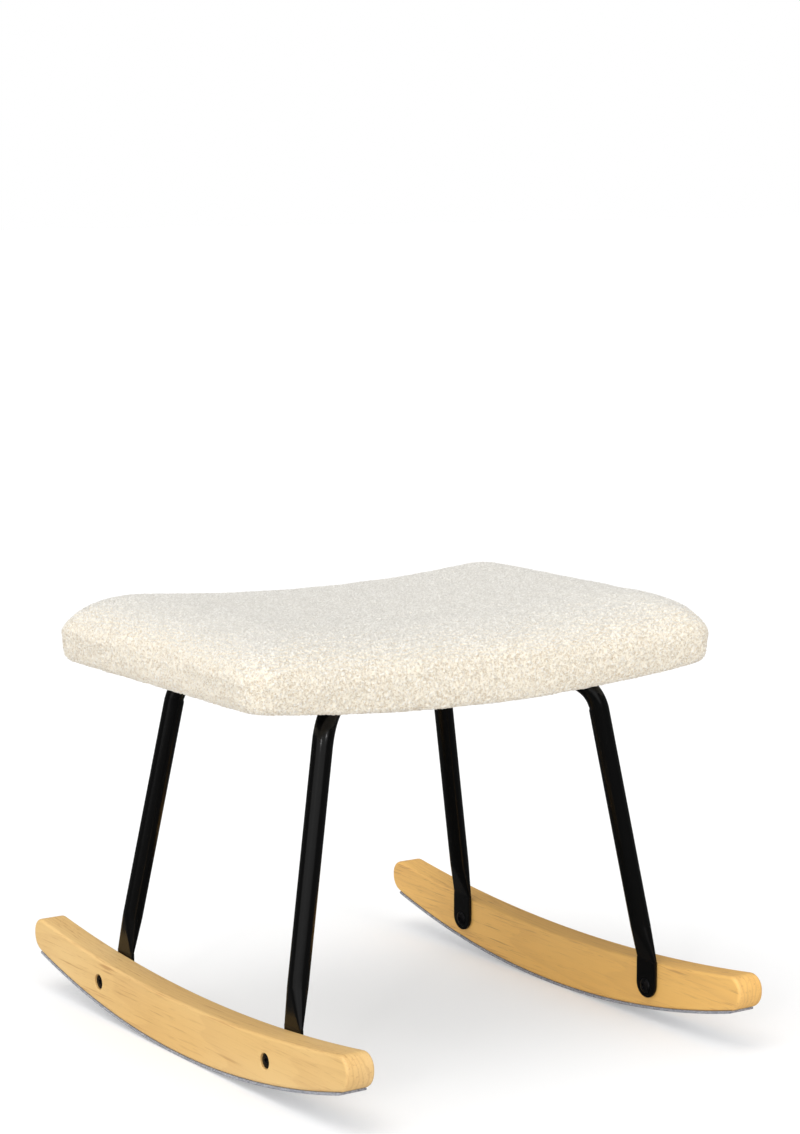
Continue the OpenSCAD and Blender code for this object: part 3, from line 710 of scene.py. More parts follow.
def dust_finish(colours):
    """Thin non-woven cloth with a pressed dot pattern."""
    f = Finish("thin black cloth", {"Sheen Weight": 0.2})
    fibre = f.streaks((700, 260, 700), 4.0, 0.7, 1.0)
    dots = f.between(f.cells(f.stretched((1, 1, 0.02)), 520.0), 0.15, 0.4)
    return f.wear(
        Base_Color=f.tinted(colours.dust_cloth, fibre, 0.5, colours.coat_worn),
        Roughness=f.swung(fibre, 0.15, 0.8),
        Normal=f.bump(dots, 0.00012, 0.5, f.bump(fibre, 0.00015, 0.5)),
    )


# Rockers


def arc_points(y, z, radius, angles, way=-1):
    """Points of an arc round a centre, from straight below it, or with way 1 from above it."""
    return np.stack([y + radius * np.sin(angles), z + way * radius * np.cos(angles)], 1)


def rocker_half_outline(s, drop):
    """Lower and upper points (y, z) of half a rocker's outline, moved inwards by drop."""
    half = s.long / 2
    low_centre = s.felt_thickness + s.under_radius
    top_centre = s.felt_thickness + s.mid_height + s.over_radius
    low_y, top_y = half - s.nose_low, half - s.nose_top
    low_z = low_centre - math.sqrt((s.under_radius - s.nose_low) ** 2 - low_y**2)
    top_z = top_centre - math.sqrt((s.over_radius + s.nose_top) ** 2 - top_y**2)
    low_turn = math.asin(low_y / (s.under_radius - s.nose_low))
    top_turn = math.asin(top_y / (s.over_radius + s.nose_top))
    run, turn = np.linspace(0, 1, 64), np.linspace(0, 1, 13)[1:]
    low_nose = low_turn + (math.pi / 2 - low_turn) * turn
    top_nose = (math.pi / 2 + top_turn) * turn - top_turn
    lower = [
        arc_points(0, low_centre, s.under_radius - drop, low_turn * run),
        arc_points(low_y, low_z, s.nose_low - drop, low_nose),
    ]
    upper = [
        arc_points(0, top_centre, s.over_radius + drop, top_turn * run),
        arc_points(top_y, top_z, s.nose_top - drop, top_nose, way=1),
    ]
    return np.vstack(lower), np.vstack(upper)


def rocker_ring(s, x, drop):
    """Closed outline of a rocker at x, moved inwards by drop."""
    lower, upper = (
        np.vstack([(half[1:] * [-1, 1])[::-1], half]) for half in rocker_half_outline(s, drop)
    )
    line = np.vstack([lower, upper[::-1]])
    return np.column_stack([np.full(len(line), x), line])


def make_rocker(sizes, tubes, name, side):
    """A solid wood rocker with rounded edges and two counterbored holes."""
    inner, outer = sizes.outer_x - sizes.thickness, sizes.outer_x
    edge, lip = sizes.edge_radius, 0.0008
    first, last = rounded_edges(inner, outer, edge, 8)
    layers = [(inner, edge + lip), *first, *last, (outer, edge + lip)]
    rings = np.array([rocker_ring(sizes, x, drop) for x, drop in layers])
    count, size = rings.shape[:2]
    points, faces = loft(rings, wrap=True)
    top = (count - 1) * size
    faces = faces[:top]
    for a in range(size // 2 - 1):
        b, c, d = a + 1, size - 2 - a, size - 1 - a
        faces += [[d, c, b, a], [top + a, top + b, top + c, top + d]]
    points[:, 0] *= side
    rocker = new_object(f"rocker_{name}_wood", points, faces)
    sink, bore = sizes.sink_diameter / 2, sizes.bore / 2
    chamfer, over = 0.0006, 0.002
    hole, hole_faces = lathe([
        (bore, inner - over),
        (bore, outer - sizes.sink_depth),
        (sink, outer - sizes.sink_depth),
        (sink, outer - chamfer),
        (sink + chamfer + over, outer + over),
    ])
    for sy in (-1, 1):
        place = np.array([0, sy * tubes.foot_y, tubes.foot_height])
        carve(rocker, set_up(hole, place, X_AXIS * side, Z_AXIS), hole_faces)
    smooth(rocker)
    return rocker


def make_felt(sizes, name, side):
    """A strip of felt along the underside of a rocker, its free faces slightly uneven."""
    narrower, soft, fuzz, fuzz_size = 0.001, 0.0005, 0.00018, 0.0011
    half_w, half_t = (sizes.thickness - narrower) / 2, sizes.felt_thickness / 2
    outer_r = sizes.under_radius + sizes.felt_thickness
    reach = math.asin((sizes.long / 2 - sizes.felt_end_gap) / outer_r)
    wide = np.linspace(soft - half_w, half_w - soft, 19)
    thick = np.linspace(soft - half_t, half_t - soft, 4)
    across = [(v, -half_t) for v in wide] + [(half_w, u) for u in thick]
    across += [(v, half_t) for v in wide[::-1]] + [(-half_w, u) for u in thick[::-1]]
    middle_x = sizes.outer_x - sizes.thickness / 2
    turns = np.linspace(-reach, reach, 330)
    rings = []
    for k, turn in enumerate(turns):
        drop = soft if k in (0, len(turns) - 1) else 0.0
        v, u = (np.array(across) * (1 - drop / np.array([half_w, half_t]))).T
        r = sizes.under_radius + half_t + u
        ring = [side * (middle_x + v), r * math.sin(turn), outer_r - r * math.cos(turn)]
        rings.append(np.stack(ring, 1))
    points, faces = loft(rings)
    off_sole = points[:, 2] - (outer_r - np.sqrt(outer_r**2 - points[:, 1] ** 2))
    free = off_sole > 0.0003
    points[:, 0] += soft_noise(points, fuzz_size, 5) * fuzz * free
    points[:, 2] -= np.abs(soft_noise(points, fuzz_size, 6) * fuzz * free) * 0.4
    points[:, 2] = np.maximum(points[:, 2], 0)
    felt = new_object(f"felt_{name}_strip", points, faces)
    smooth(felt, 50)
    return felt


# Tube frame


def leg_lines(s, outer_x, rocker_thickness):
    """Places and directions of the leg at plus X and plus Y, as the frame has them."""
    foot_x = outer_x - rocker_thickness - s.foot_thickness / 2
    crease = np.array([foot_x, s.foot_y, s.foot_height + s.crease_rise])
    knee = np.array([s.knee_x, s.knee_y, s.arm_height])
    up = unit(knee - crease)
    inward = unit([-s.knee_x, -s.knee_y, 0])
    turn = math.acos(up @ inward)
    cut = s.bend_radius * math.tan(turn / 2)
    bend_in = unit(inward - up * (up @ inward))
    return SimpleNamespace(
        foot_x=foot_x,
        crease=crease,
        up=up,
        inward=inward,
        turn=turn,
        bend_in=bend_in,
        hinge=np.cross(up, bend_in),
        swell_top=crease + up * s.swell,
        bend_start=knee - up * cut,
        bend_end=knee + inward * cut,
        bend_centre=knee - up * cut + bend_in * s.bend_radius,
        bolt=-inward[:2] * s.seat_bolt_reach,
    )


def stadium(flat, radius, sides):
    """Points (thin, wide) evenly spaced round two half circles joined by flats."""
    arc = math.pi * radius
    total = 2 * arc + 4 * flat
    points = []
    for step in np.arange(sides) * total / sides:
        half, along = divmod(step, total / 2)
        sign = 1 if half == 0 else -1
        if along <= flat:
            point = (radius, along)
        elif along <= flat + arc:
            angle = (along - flat) / radius
            point = (radius * math.cos(angle), flat + radius * math.sin(angle))
        else:
            point = (-radius, flat - (along - flat - arc))
        points.append((sign * point[0], sign * point[1]))
    return np.array(points)


def laid(middle, section, first, second):
    """A flat section laid round a middle, along two directions."""
    return middle + np.outer(section[:, 0], first) + np.outer(section[:, 1], second)


def leg_rings(s, lines):
    """Rings of a leg from its crease over the swelling and the bend to the start of the arm."""
    sides, tuck = 64, 0.003
    round_r = s.tube / 2
    flat_half, thin_half = s.foot_width / 2, s.foot_thickness / 2
    thin_end = unit(X_AXIS - lines.up * lines.up[0])
    wide_end = np.cross(lines.up, thin_end)
    inside = stadium(flat_half - thin_half - 0.0004, thin_half - 0.0003, sides)
    rings = [laid(lines.crease - Z_AXIS * tuck, inside, X_AXIS, Y_AXIS)]
    for t in np.linspace(0, 1, 21):
        radius = thin_half + (round_r - thin_half) * t
        section = stadium((flat_half - thin_half) * (1 - t), radius, sides)
        thin = unit(X_AXIS * (1 - t) + thin_end * t)
        wide = unit(Y_AXIS * (1 - t) + wide_end * t)
        rings.append(laid(lines.crease + lines.up * s.swell * t, section, thin, wide))
    section = stadium(0.0, round_r, sides)
    landed = turned(thin_end, lines.hinge, lines.turn)
    start = math.atan2(landed @ Z_AXIS, landed @ np.cross(Z_AXIS, lines.inward))
    step = 2 * math.pi / sides
    twist = round((2 * start - math.pi) / step) * step / 2 + math.pi / 2 - start
    leg = np.linalg.norm(lines.bend_start - lines.swell_top)
    for t in np.linspace(0, 1, 25)[1:]:
        thin = turned(thin_end, lines.up, -twist * t)
        middle = lines.swell_top + lines.up * leg * t
        rings.append(laid(middle, section, thin, np.cross(lines.up, thin)))
    spokes = rings[-1] - lines.bend_start
    across, side_on = spokes @ lines.bend_in, spokes @ lines.hinge
    inner = np.clip(across / round_r, 0, 1)
    flattening, dent, bulge = 0.055, 0.05, 0.025
    for t in np.linspace(0, 1, 29)[1:]:
        press = math.sin(math.pi * t) ** 0.5
        kink = math.exp(-(((t - 0.04) / 0.05) ** 2))
        squeeze = 1 - flattening * press - inner**2 * (dent * press + dent * kink)
        pressed = np.stack([across * squeeze, side_on * (1 + bulge * press)], 1)
        ring = laid(0, pressed, lines.bend_in, lines.hinge)
        from_centre = lines.bend_start - lines.bend_centre + ring
        rings.append(lines.bend_centre + turned(from_centre, lines.hinge, lines.turn * t))
    return rings


def make_foot(s, lines):
    """Points and faces of the flattened foot: a tab with a round tip and a closed slit."""
    half_w, half_t = s.foot_width / 2, s.foot_thickness / 2
    centre_z = s.foot_height - s.foot_tip + half_w
    top = lines.crease[2]
    edge, slit, lip, groove = 0.0016, 0.0002, 0.0001, 0.0009

    def outline(drop):
        w = half_w - drop
        turns = np.linspace(0, math.pi, 41)
        tip = np.stack([w * np.cos(turns), centre_z - w * np.sin(turns)], 1)
        side = np.linspace(top - drop, centre_z, 10)[:-1]
        right = np.stack([np.full(9, w), side], 1)
        left = np.stack([np.full(9, -w), side[::-1]], 1)
        return np.vstack([right, tip, left])

    first, last = rounded_edges(-half_t, half_t, edge, 6)
    layers = [(-half_t, edge * 1.6), *first, (-slit, lip), (-slit * 0.6, groove)]
    layers += [(slit * 0.6, groove), (slit, lip), *last, (half_t, edge * 1.6)]
    rings = []
    for x, drop in layers:
        y, z = outline(drop).T
        rings.append(np.stack([np.full(len(y), lines.foot_x + x), s.foot_y + y, z], 1))
    return loft(rings)


def bead(points, radius):
    """Closed ring of weld along points, whose radius changes from point to point."""
    ahead = np.roll(points, -1, 0) - np.roll(points, 1, 0)
    ahead /= np.linalg.norm(ahead, axis=1)[:, None]
    side = np.cross(ahead, Z_AXIS + 0.01 * X_AXIS)
    side /= np.linalg.norm(side, axis=1)[:, None]
    up = np.cross(side, ahead)
    cos, sin = (wave[None, :, None] for wave in circle(12))
    spokes = side[:, None] * cos + up[:, None] * sin
    return loft(points[:, None] + radius[:, None, None] * spokes, wrap=True)


def weld_bead(s, axis, other):
    """Bead where a tube along axis meets the round side of a tube along other, thin on top."""
    r = s.tube / 2
    thick, thinning, sink = 0.0023, 0.8, 0.0016
    across, skew = np.cross(Z_AXIS, axis), np.cross(Z_AXIS, other)
    turns = np.linspace(0, 2 * math.pi, 220, endpoint=False)
    cos, sin = np.cos(turns), np.sin(turns)
    out = (r * np.abs(cos) - r * cos * (across @ skew)) / (axis @ skew)
    points = np.outer(out, axis) + np.outer(r * cos, across) + np.outer(r * sin, Z_AXIS)
    points += Z_AXIS * s.arm_height
    ripple = 0.00022 * np.sin(turns * 34) + 0.0002 * np.sin(turns * 5 + 1)
    on_top = np.clip(sin, 0, 1) ** 6
    points -= np.outer(sink * on_top, Z_AXIS)
    return bead(points, (thick + ripple) * (1 - thinning * on_top))


def mirrored(points, sx, sy):
    """Points of the quarter of the stool on that side."""
    return np.asarray(points) * np.array([sx, sy, 1])


def new_tube(name, points, faces, s, lines, *corners):
    """A tube of the frame with its flattened feet, drilled for the seat and foot bolts."""
    tube = new_object(name, points, faces)
    room, reach = 0.0003, 0.01
    foot, foot_faces = make_foot(s, lines)
    for sx, sy in corners:
        carve(tube, mirrored(foot, sx, sy), foot_faces, "UNION")
    for sx, sy in corners:
        r = s.seat_bolt / 2 + room
        hole, hole_faces = lathe([(r, -s.tube), (r, s.tube)], 32)
        carve(tube, hole + mirrored([*lines.bolt, s.arm_height], sx, sy), hole_faces)
        r = s.foot_bolt / 2 + room
        hole, hole_faces = lathe([(r, -reach), (r, reach)], 40)
        place = mirrored([lines.foot_x, s.foot_y, s.foot_height], sx, sy)
        carve(tube, set_up(hole, place, X_AXIS, Z_AXIS), hole_faces)
    smooth(tube)
    return tube


def make_long_tube(s, lines):
    """The tube that runs through, from the front left foot to the back right foot."""
    half = leg_rings(s, lines)
    last, arm = half[-1], np.linalg.norm(lines.bend_end[:2])
    half += [last + lines.inward * arm * t for t in np.linspace(0, 1, 9)[1:]]
    far = mirrored(half, -1, -1)
    order = np.linalg.norm(half[-1][:, None] - far[-1][None], axis=2).argmin(1)
    points, faces = loft([*half, *far[-2::-1, order]])
    return new_tube("frame_long_tube_steel", points, faces, s, lines, (1, 1), (-1, -1))


def make_short_tube(s, lines, sx, sy, name):
    """A tube that ends on the round side of the long tube, with its weld."""
    rings = leg_rings(s, lines)
    last = rings[-1]
    other = unit([lines.inward[0], -lines.inward[1], 0])
    skew = np.cross(Z_AXIS, other)
    spokes = last - lines.bend_end
    clear = np.sqrt(np.clip((s.tube / 2) ** 2 - spokes[:, 2] ** 2, 0, None))
    reach = (clear * np.sign(lines.bend_end @ skew) - spokes @ skew) / (lines.inward @ skew)
    end = np.array([0, 0, s.arm_height]) + spokes + np.outer(reach, lines.inward)
    rings += [last + (end - last) * t for t in np.linspace(0, 1, 9)[1:]]
    points, faces = loft(rings)
    tube = new_tube(name, mirrored(points, sx, sy), faces, s, lines, (sx, sy))
    axis, along = mirrored(-lines.inward, sx, sy), -lines.inward
    if axis @ np.cross(Z_AXIS, along) <= 0:
        along = -along
    seam = new_object(f"{name}_weld", *weld_bead(s, axis, along))
    smooth(seam, 60)
    merge(tube, seam)
    return tube


def merge(piece, other):
    """Adds the other object's mesh to the piece's, and removes the other object."""
    shape = bmesh.new()
    shape.from_mesh(piece.data)
    shape.from_mesh(other.data)
    shape.to_mesh(piece.data)
    shape.free()
    bpy.data.objects.remove(other)


# Bolts and nuts


def hex_corner(key):
    """Distance from the middle to a corner of a hexagon of a key size."""
    return key / 2 / math.cos(math.pi / 6)


def level(radii, height):
    """A ring of points at a height, with one radius or a radius for each."""
    cos, sin = circle(FACETS)
    return np.stack([radii * cos, radii * sin, np.full(FACETS, height)], 1)


def socket_rings(key, face, depth):
    """Rings from the floor of a hex socket up to its chamfer at the face."""
    angles = np.arange(FACETS) * (2 * math.pi / FACETS)
    hexes = key / 2 / np.cos(np.mod(angles, math.pi / 3) - math.pi / 6)
    return [
        level(hexes * 0.25, face - depth - 0.0006),
        level(hexes * 0.96, face - depth),
        level(hexes, face - depth + 0.0001),
        level(hexes, face - 0.00035),
        level(np.maximum(hexes, hex_corner(key)) + SOCKET_CHAMFER, face),
    ]


def thread_rings(diameter, pitch, top, low):
    """Rings of a screw thread from the top down."""
    angles = np.arange(FACETS) / FACETS
    rings = []
    for z in np.arange(top, low, -pitch / 6):
        wave = np.abs(np.mod(z / pitch + angles, 1) * 2 - 1)
        fade = min(1.0, (top - z) / pitch, (z - low) / pitch)
        rings.append(level(diameter / 2 - 0.6 * pitch * wave * max(fade, 0), z))
    return rings


def button_screw(diameter, rise, key, shank, reach, pitch):
    """Button head screw: the flat of its head at zero, its dome up, its shank down."""
    rim, soft, half, stem = rise * 0.22, 0.00018, diameter / 2, shank / 2
    dome_r = (half**2 + (rise - rim) ** 2) / (2 * (rise - rim))

    def dome(r):
        return rise - dome_r + math.sqrt(dome_r**2 - r**2)

    start = hex_corner(key) + SOCKET_CHAMFER
    rings = socket_rings(key, dome(start), rise * 0.7)
    rings += [level(r, dome(r)) for r in np.linspace(start, half - 0.0002, 9)[1:]]
    rings += [level(half, rim - soft), level(half, soft), level(half - soft, 0)]
    rings += [level(stem + 0.0004, 0), level(stem, -0.0004)]
    rings += thread_rings(shank, pitch, -reach * 0.16, -reach + 0.001)
    rings += [level(stem - 0.5 * pitch, -reach + 0.0008), level(stem - pitch, -reach)]
    return loft(rings)


def sleeve_nut(s):
    """Sleeve nut: its head's inner face at zero, its head up, its threaded sleeve down."""
    head, thick, soft = s.sleeve_head / 2, 0.002, 0.0003
    sleeve, bore = s.sleeve / 2, s.foot_bolt / 2 + 0.0001
    rings = socket_rings(s.foot_key, thick, 0.0016)
    rings += [level(head - 0.0008, thick), level(head - soft, thick - soft * 0.5)]
    rings += [level(head, thick - 2 * soft), level(head, soft), level(head - soft, 0)]
    rings += [level(sleeve + 0.0002, 0), level(sleeve, -0.0003)]
    rings += [level(sleeve, -s.sleeve_length + 0.0004)]
    rings += [level(sleeve - 0.0004, -s.sleeve_length), level(bore, -s.sleeve_length)]
    rings += [level(bore, -0.0026), level(bore * 0.2, -0.0018)]
    return loft(rings)


# Seat


def sag(s, x):
    """Rise of the bent board at a distance from the middle."""
    return s.bend - np.sqrt(s.bend**2 - np.asarray(x) ** 2)


def over_waist(s, x, rise=0):
    """Height of what lies at a rise over the widest line of the seat."""
    return s.board_height + s.waist_rise + rise + sag(s, x)


def seat_line(s, corner_steps=12, gap=0.006):
    """Widest line of the seat, seen from above, evenly spaced."""
    core_x, core_y = s.half_x - s.corner, s.half_y - s.corner
    points = []
    for k, (cx, cy) in enumerate(AROUND):
        turns = np.linspace(k * math.pi / 2, (k + 1) * math.pi / 2, corner_steps)
        arc = np.stack([cx * core_x + s.corner * np.cos(turns),
                        cy * core_y + s.corner * np.sin(turns)], 1)
        points.append(arc)
        sides = 2 * (core_x if k % 2 == 0 else core_y)
        steps = int(sides / gap)
        way = np.array([[-1, 0], [0, -1], [1, 0], [0, 1]][k], float)
        points.append(arc[-1] + np.outer(np.arange(1, steps) * sides / steps, way))
    return np.vstack(points)


def seat_ring(s, line, inset, rise):
    """The widest line drawn in by inset and raised by rise, bent like the board."""
    x = line[:, 0] * (1 - inset / s.half_x)
    y = line[:, 1] * (1 - inset / s.half_y)
    low = min(max(-rise / s.roll_low, 0), 1)
    return np.stack([x, y, over_waist(s, x, rise) - s.roll_hang * low * (x / s.half_x) ** 4], 1)


def shrunk_ring(s, line, inset, share, rise):
    """The widest line drawn in by inset, then shrunk to a share, and raised by rise."""
    ring = seat_ring(s, line, inset, 0)
    ring[:, :2] *= share
    ring[:, 2] = over_waist(s, ring[:, 0], rise)
    return ring


def seat_shell(s, depth):
    """Closed skin of the padded seat, at a depth under its face."""
    line = seat_line(s)
    hem_end = s.hem_start + s.hem_width
    shares = (0.03, 0.2, 0.4, 0.6, 0.8, 1.0)
    rings = [shrunk_ring(s, line, hem_end, share, -s.hem_rise) for share in shares]
    inner, low = s.roll_corner + s.roll_flat, -s.roll_low + depth
    for share in np.linspace(1, 0, 9):
        ease = (1 - math.cos(math.pi * share)) / 2
        rise = low + (-s.hem_rise - low) * ease
        rings.append(seat_ring(s, line, inner + (s.hem_start - inner) * share, rise))
    r = s.roll_corner - depth
    for a in np.linspace(math.pi / 2, 0, 6):
        rise = -s.roll_low + s.roll_corner - r * math.sin(a)
        rings.append(seat_ring(s, line, s.roll_corner - r * math.cos(a), rise))
    full = 0.94
    for a in np.linspace(0, math.pi / 2, 22):
        inset = s.crown_run - (s.crown_run - depth) * max(math.cos(a), 0) ** full
        rise = (s.crown + s.lean - depth) * math.sin(a) ** full - s.lean
        rings.append(seat_ring(s, line, inset, rise))
    for share in (0.85, 0.7, 0.5, 0.3, 0.1):
        rise = s.crown + s.crown_extra * (1 - share**2) - depth
        rings.append(shrunk_ring(s, line, s.crown_run, share, rise))
    return loft(rings)


def seat_inset(s, points):
    """How far inside the seat's widest line each point lies, seen from above."""
    q = np.abs(points[:, :2]) - (np.array([s.half_x, s.half_y]) - s.corner)
    outside = np.linalg.norm(np.clip(q, 0, None), axis=1)
    return s.corner - outside - np.minimum(q.max(1), 0)


def points_and_normals(mesh):
    """The mesh's points and their normals as arrays."""
    arrays = []
    for source, name in ((mesh.vertices, "co"), (mesh.vertex_normals, "vector")):
        flat = np.zeros(len(source) * 3, np.float32)
        source.foreach_get(name, flat)
        arrays.append(flat.reshape(-1, 3).astype(float))
    return arrays


def move_points(mesh, points):
    """Gives the mesh new places for its points."""
    mesh.vertices.foreach_set("co", np.asarray(points, np.float32).ravel())
    mesh.update()


def pad_out(cushion, s, cap):
    """Swells the cushion under pressure as cloth, its hem held, and limits how far it moves."""
    under, margin, frames = 0.006, 0.010, 20
    start, normals = points_and_normals(cushion.data)
    below = start[:, 2] - over_waist(s, start[:, 0]) < -under
    held = np.flatnonzero(below & (seat_inset(s, start) > s.hem_start - margin))
    group = cushion.vertex_groups.new(name="held")
    group.add(held.tolist(), 1.0, "REPLACE")
    modifier = cushion.modifiers.new("padding", "CLOTH")
    cloth = modifier.settings
    cloth.quality = 5
    cloth.mass = 0.3
    cloth.tension_stiffness = 12
    cloth.compression_stiffness = 12
    cloth.shear_stiffness = 6
    cloth.bending_stiffness = 0.6
    cloth.use_pressure = True
    cloth.uniform_pressure_force = 4
    cloth.effector_weights.gravity = 0
    cloth.vertex_group_mass = "held"
    modifier.collision_settings.use_collision = False
    scene = bpy.context.scene
    for number in range(1, frames + 1):
        scene.frame_set(number)
    settle(cushion)
    scene.frame_set(1)
    moved = points_and_normals(cushion.data)[0] - start
    out = (moved * normals).sum(1)
    cap = cap * (1 - 0.7 * eased(np.clip(normals[:, 2] / 0.8, 0, 1)))
    swollen = np.where(out > 0, cap * np.tanh(out / cap), 0.3 * cap * np.tanh(out / cap))
    move_points(cushion.data, start + normals * swollen[:, None])
    cushion.vertex_groups.clear()


def add_value(mesh, name, values):
    """Stores a number on each point, for the finish to read."""
    attribute = mesh.attributes.new(name, "FLOAT", "POINT")
    attribute.data.foreach_set("value", values.astype(np.float32))


def make_cushion(s):
    """The upholstered seat: padded, subdivided, and raised into curls."""
    allowance, voxel, swell_limit = 0.0015, 0.005, 0.005
    cushion = new_object("seat_cushion", *seat_shell(s, allowance))
    modify(cushion, "REMESH", mode="VOXEL", voxel_size=voxel)
    modify(cushion, "SMOOTH", factor=0.5, iterations=4)
    pad_out(cushion, s, swell_limit)
    modify(cushion, "SUBSURF", levels=2, render_levels=2)
    mesh = cushion.data
    points, normals = points_and_normals(mesh)
    rise = points[:, 2] - over_waist(s, points[:, 0])
    inset = seat_inset(s, points)
    fade, hollow, hollow_edge = 0.008, 0.006, 0.004
    under = np.clip((inset - s.hem_start + fade) / fade, 0, 1) * (rise < -0.004)
    swell = soft_noise(points, 0.032, 11) * 0.0006 + soft_noise(points, 0.013, 12) * 0.0003
    bend = np.stack([soft_noise(points, s.loop * 0.9, 20 + k) for k in range(3)], 1)
    warped = points + bend * s.loop * 0.35
    large, tone = curls(warped, s.loop, 31)
    small, _ = curls(warped, s.loop * 0.55, 47)
    pile = 0.7 * large + 0.3 * small
    lift = (swell + s.loop_rise * (pile - 0.35)) * (1 - under)
    points = points + normals * lift[:, None]
    hem = over_waist(s, points[:, 0], 0.0002 - s.hem_rise)
    step = np.clip((inset - s.hem_start - s.hem_width) / hollow_edge, 0, 1) * hollow
    points[:, 2] = points[:, 2] * (1 - under) + (hem + step) * under
    move_points(mesh, points)
    add_value(mesh, "pile", pile)
    add_value(mesh, "tone", tone)
    mesh.shade_smooth()
    return cushion


def dust_height(s, tubes, lines, x, y, inset):
    """Height of the face of the dust cover: slack between its staples, over the arms."""
    under_board, clear_of_tube = 0.0025, 0.0009
    flat = np.stack([x, y, np.zeros_like(x)], 1)
    slack = 0.0016 + 0.0009 * soft_noise(flat, 0.05, 71) + 0.0005 * soft_noise(flat, 0.017, 72)
    slack = slack * eased(np.clip((inset - s.dust_inset - 0.008) / 0.05, 0, 1))
    for sx, sy in CORNERS:
        gap = np.hypot(x - sx * lines.bolt[0], y - sy * lines.bolt[1])
        slack = slack * np.clip((gap - s.dust_hole / 2) / 0.03, 0, 1)
    height = s.board_height + sag(s, x) - under_board - slack
    r = tubes.tube / 2
    for sign in (-1, 1):
        off = np.abs(x * lines.inward[1] + sign * y * lines.inward[0])
        over = tubes.arm_height + np.sqrt(np.clip(r**2 - off**2, 0, None)) + clear_of_tube
        height = np.where(off < r, np.maximum(height, over), height)
    return height


def make_dust_cover(s, tubes, lines):
    """Thin cloth under the board, folded at its edge, open round the four spacers."""
    half_x, half_y = s.half_x - s.dust_inset, s.half_y - s.dust_inset
    plan = SimpleNamespace(half_x=half_x, half_y=half_y, corner=s.corner * 0.6)
    line = seat_line(plan, 10, 0.004)
    fold_share, thick, edge_thick = 0.947, 0.0003, 0.0001
    shares = [1 - d for d in (0.0, 0.003, 0.012, 0.03, 0.05, 0.055)]
    rings_low, rings_high = [], []
    for share in [*shares, *np.linspace(0.93, 0.03, 42)]:
        x, y = line[:, 0] * share, line[:, 1] * share
        inset = np.full(len(x), s.dust_inset) + (1 - share) * half_y
        low = dust_height(s, tubes, lines, x, y, inset)
        fold = thick if share > fold_share else 0.0
        rings_low.append(np.stack([x, y, low - fold], 1))
        rings_high.append(np.stack([x, y, low + (thick if share < 1 else edge_thick)], 1))
    cloth = new_object("dust_cover_cloth", *loft(rings_low[::-1] + rings_high))
    r, reach = s.dust_hole / 2, 0.01
    hole, hole_faces = lathe([(r, -reach), (r, reach)], 48)
    for sx, sy in CORNERS:
        carve(cloth, hole + mirrored([*lines.bolt, s.board_height], sx, sy), hole_faces)
    smooth(cloth, 60)
    return cloth


def make_staples(s):
    """Wire staples along the edge of the dust cover."""
    from_edge, half, bend, leg = 0.006, 0.005, 0.0004, 0.0016
    x, y = s.half_x - s.dust_inset - from_edge, s.half_y - s.dust_inset - from_edge
    run_x, run_y = x - s.corner, y - s.corner
    steps_x = math.ceil(2 * run_x / s.staple_pitch)
    steps_y = math.ceil(2 * run_y / s.staple_pitch)
    places = []
    for sign in (-1, 1):
        places += [(run_x * (2 * i / steps_x - 1), sign * y, 0.0) for i in range(steps_x + 1)]
        places += [(sign * x, run_y * (2 * i / steps_y - 1), 90.0) for i in range(steps_y + 1)]
    path = [(-half, leg), (-half, bend), (bend - half, 0.0)]
    path += [(half - bend, 0.0), (half, bend), (half, leg)]
    cos, sin = circle(10)
    wire = np.stack([0.0006 * cos, 0.00032 * sin], 1)
    chance = np.random.default_rng(7)
    parts = []
    for px, py, turn in places:
        turn = math.radians(turn + chance.uniform(-5, 5))
        along = np.array([math.cos(turn), math.sin(turn), 0])
        wide = np.cross(Z_AXIS, along)
        rings = []
        for k, (u, v) in enumerate(path):
            bent = min(1.0, abs(v) / bend) if 0 < k < len(path) - 1 else 1.0
            up = Z_AXIS * (1 - bent) + along * np.sign(u) * bent
            middle = np.array([px, py, 0]) + along * u + Z_AXIS * v
            rings.append(laid(middle, wire, wide, up))
        points, faces = loft(rings)
        points[:, 2] += s.board_height - 0.0034 + sag(s, px)
        parts.append((points, faces))
    staples = new_object("dust_cover_wire_staples", *joined(parts))
    smooth(staples, 50)
    return staples


# Operators


class FOOTSTOOL_OT_rockers(bpy.types.Operator):
    """Make the two wooden rockers"""

    bl_idname = "footstool.rockers"
    bl_label = "Rockers"

    def execute(self, context):
        scene = context.scene
        boards = {
            "left": {"pith": (0.60, 0.3, -0.02), "salt": 1.7, "warmth_and_painted_light": 0.0},
            # The right rocker's warmer wood is partly its own tone, partly painted light against
            # the seat's shade.
            "right": {"pith": (-0.57, 0.1, -0.06), "salt": 3.1, "warmth_and_painted_light": 0.75},
        }
        for name, side in SIDES.items():
            rocker = make_rocker(scene.footstool_rocker, scene.footstool_frame, name, side)
            finish = wood_finish(f"{name} rocker wood", scene.footstool_colours, **boards[name])
            dress(rocker, finish, "rocker_wood", f"rocker_{name}")
        return {"FINISHED"}


class FOOTSTOOL_OT_felt(bpy.types.Operator):
    """Make the felt strips under the rockers"""

    bl_idname = "footstool.felt"
    bl_label = "Felt strips"

    def execute(self, context):
        finish = felt_finish(context.scene.footstool_colours)
        for name, side in SIDES.items():
            strip = make_felt(context.scene.footstool_rocker, name, side)
            dress(strip, finish, "felt", f"felt_strip_{name}")
        return {"FINISHED"}


def frame_lines(scene):
    """Lines of the leg at plus X and plus Y, from the scene's sizes."""
    rocker = scene.footstool_rocker
    return leg_lines(scene.footstool_frame, rocker.outer_x, rocker.thickness)


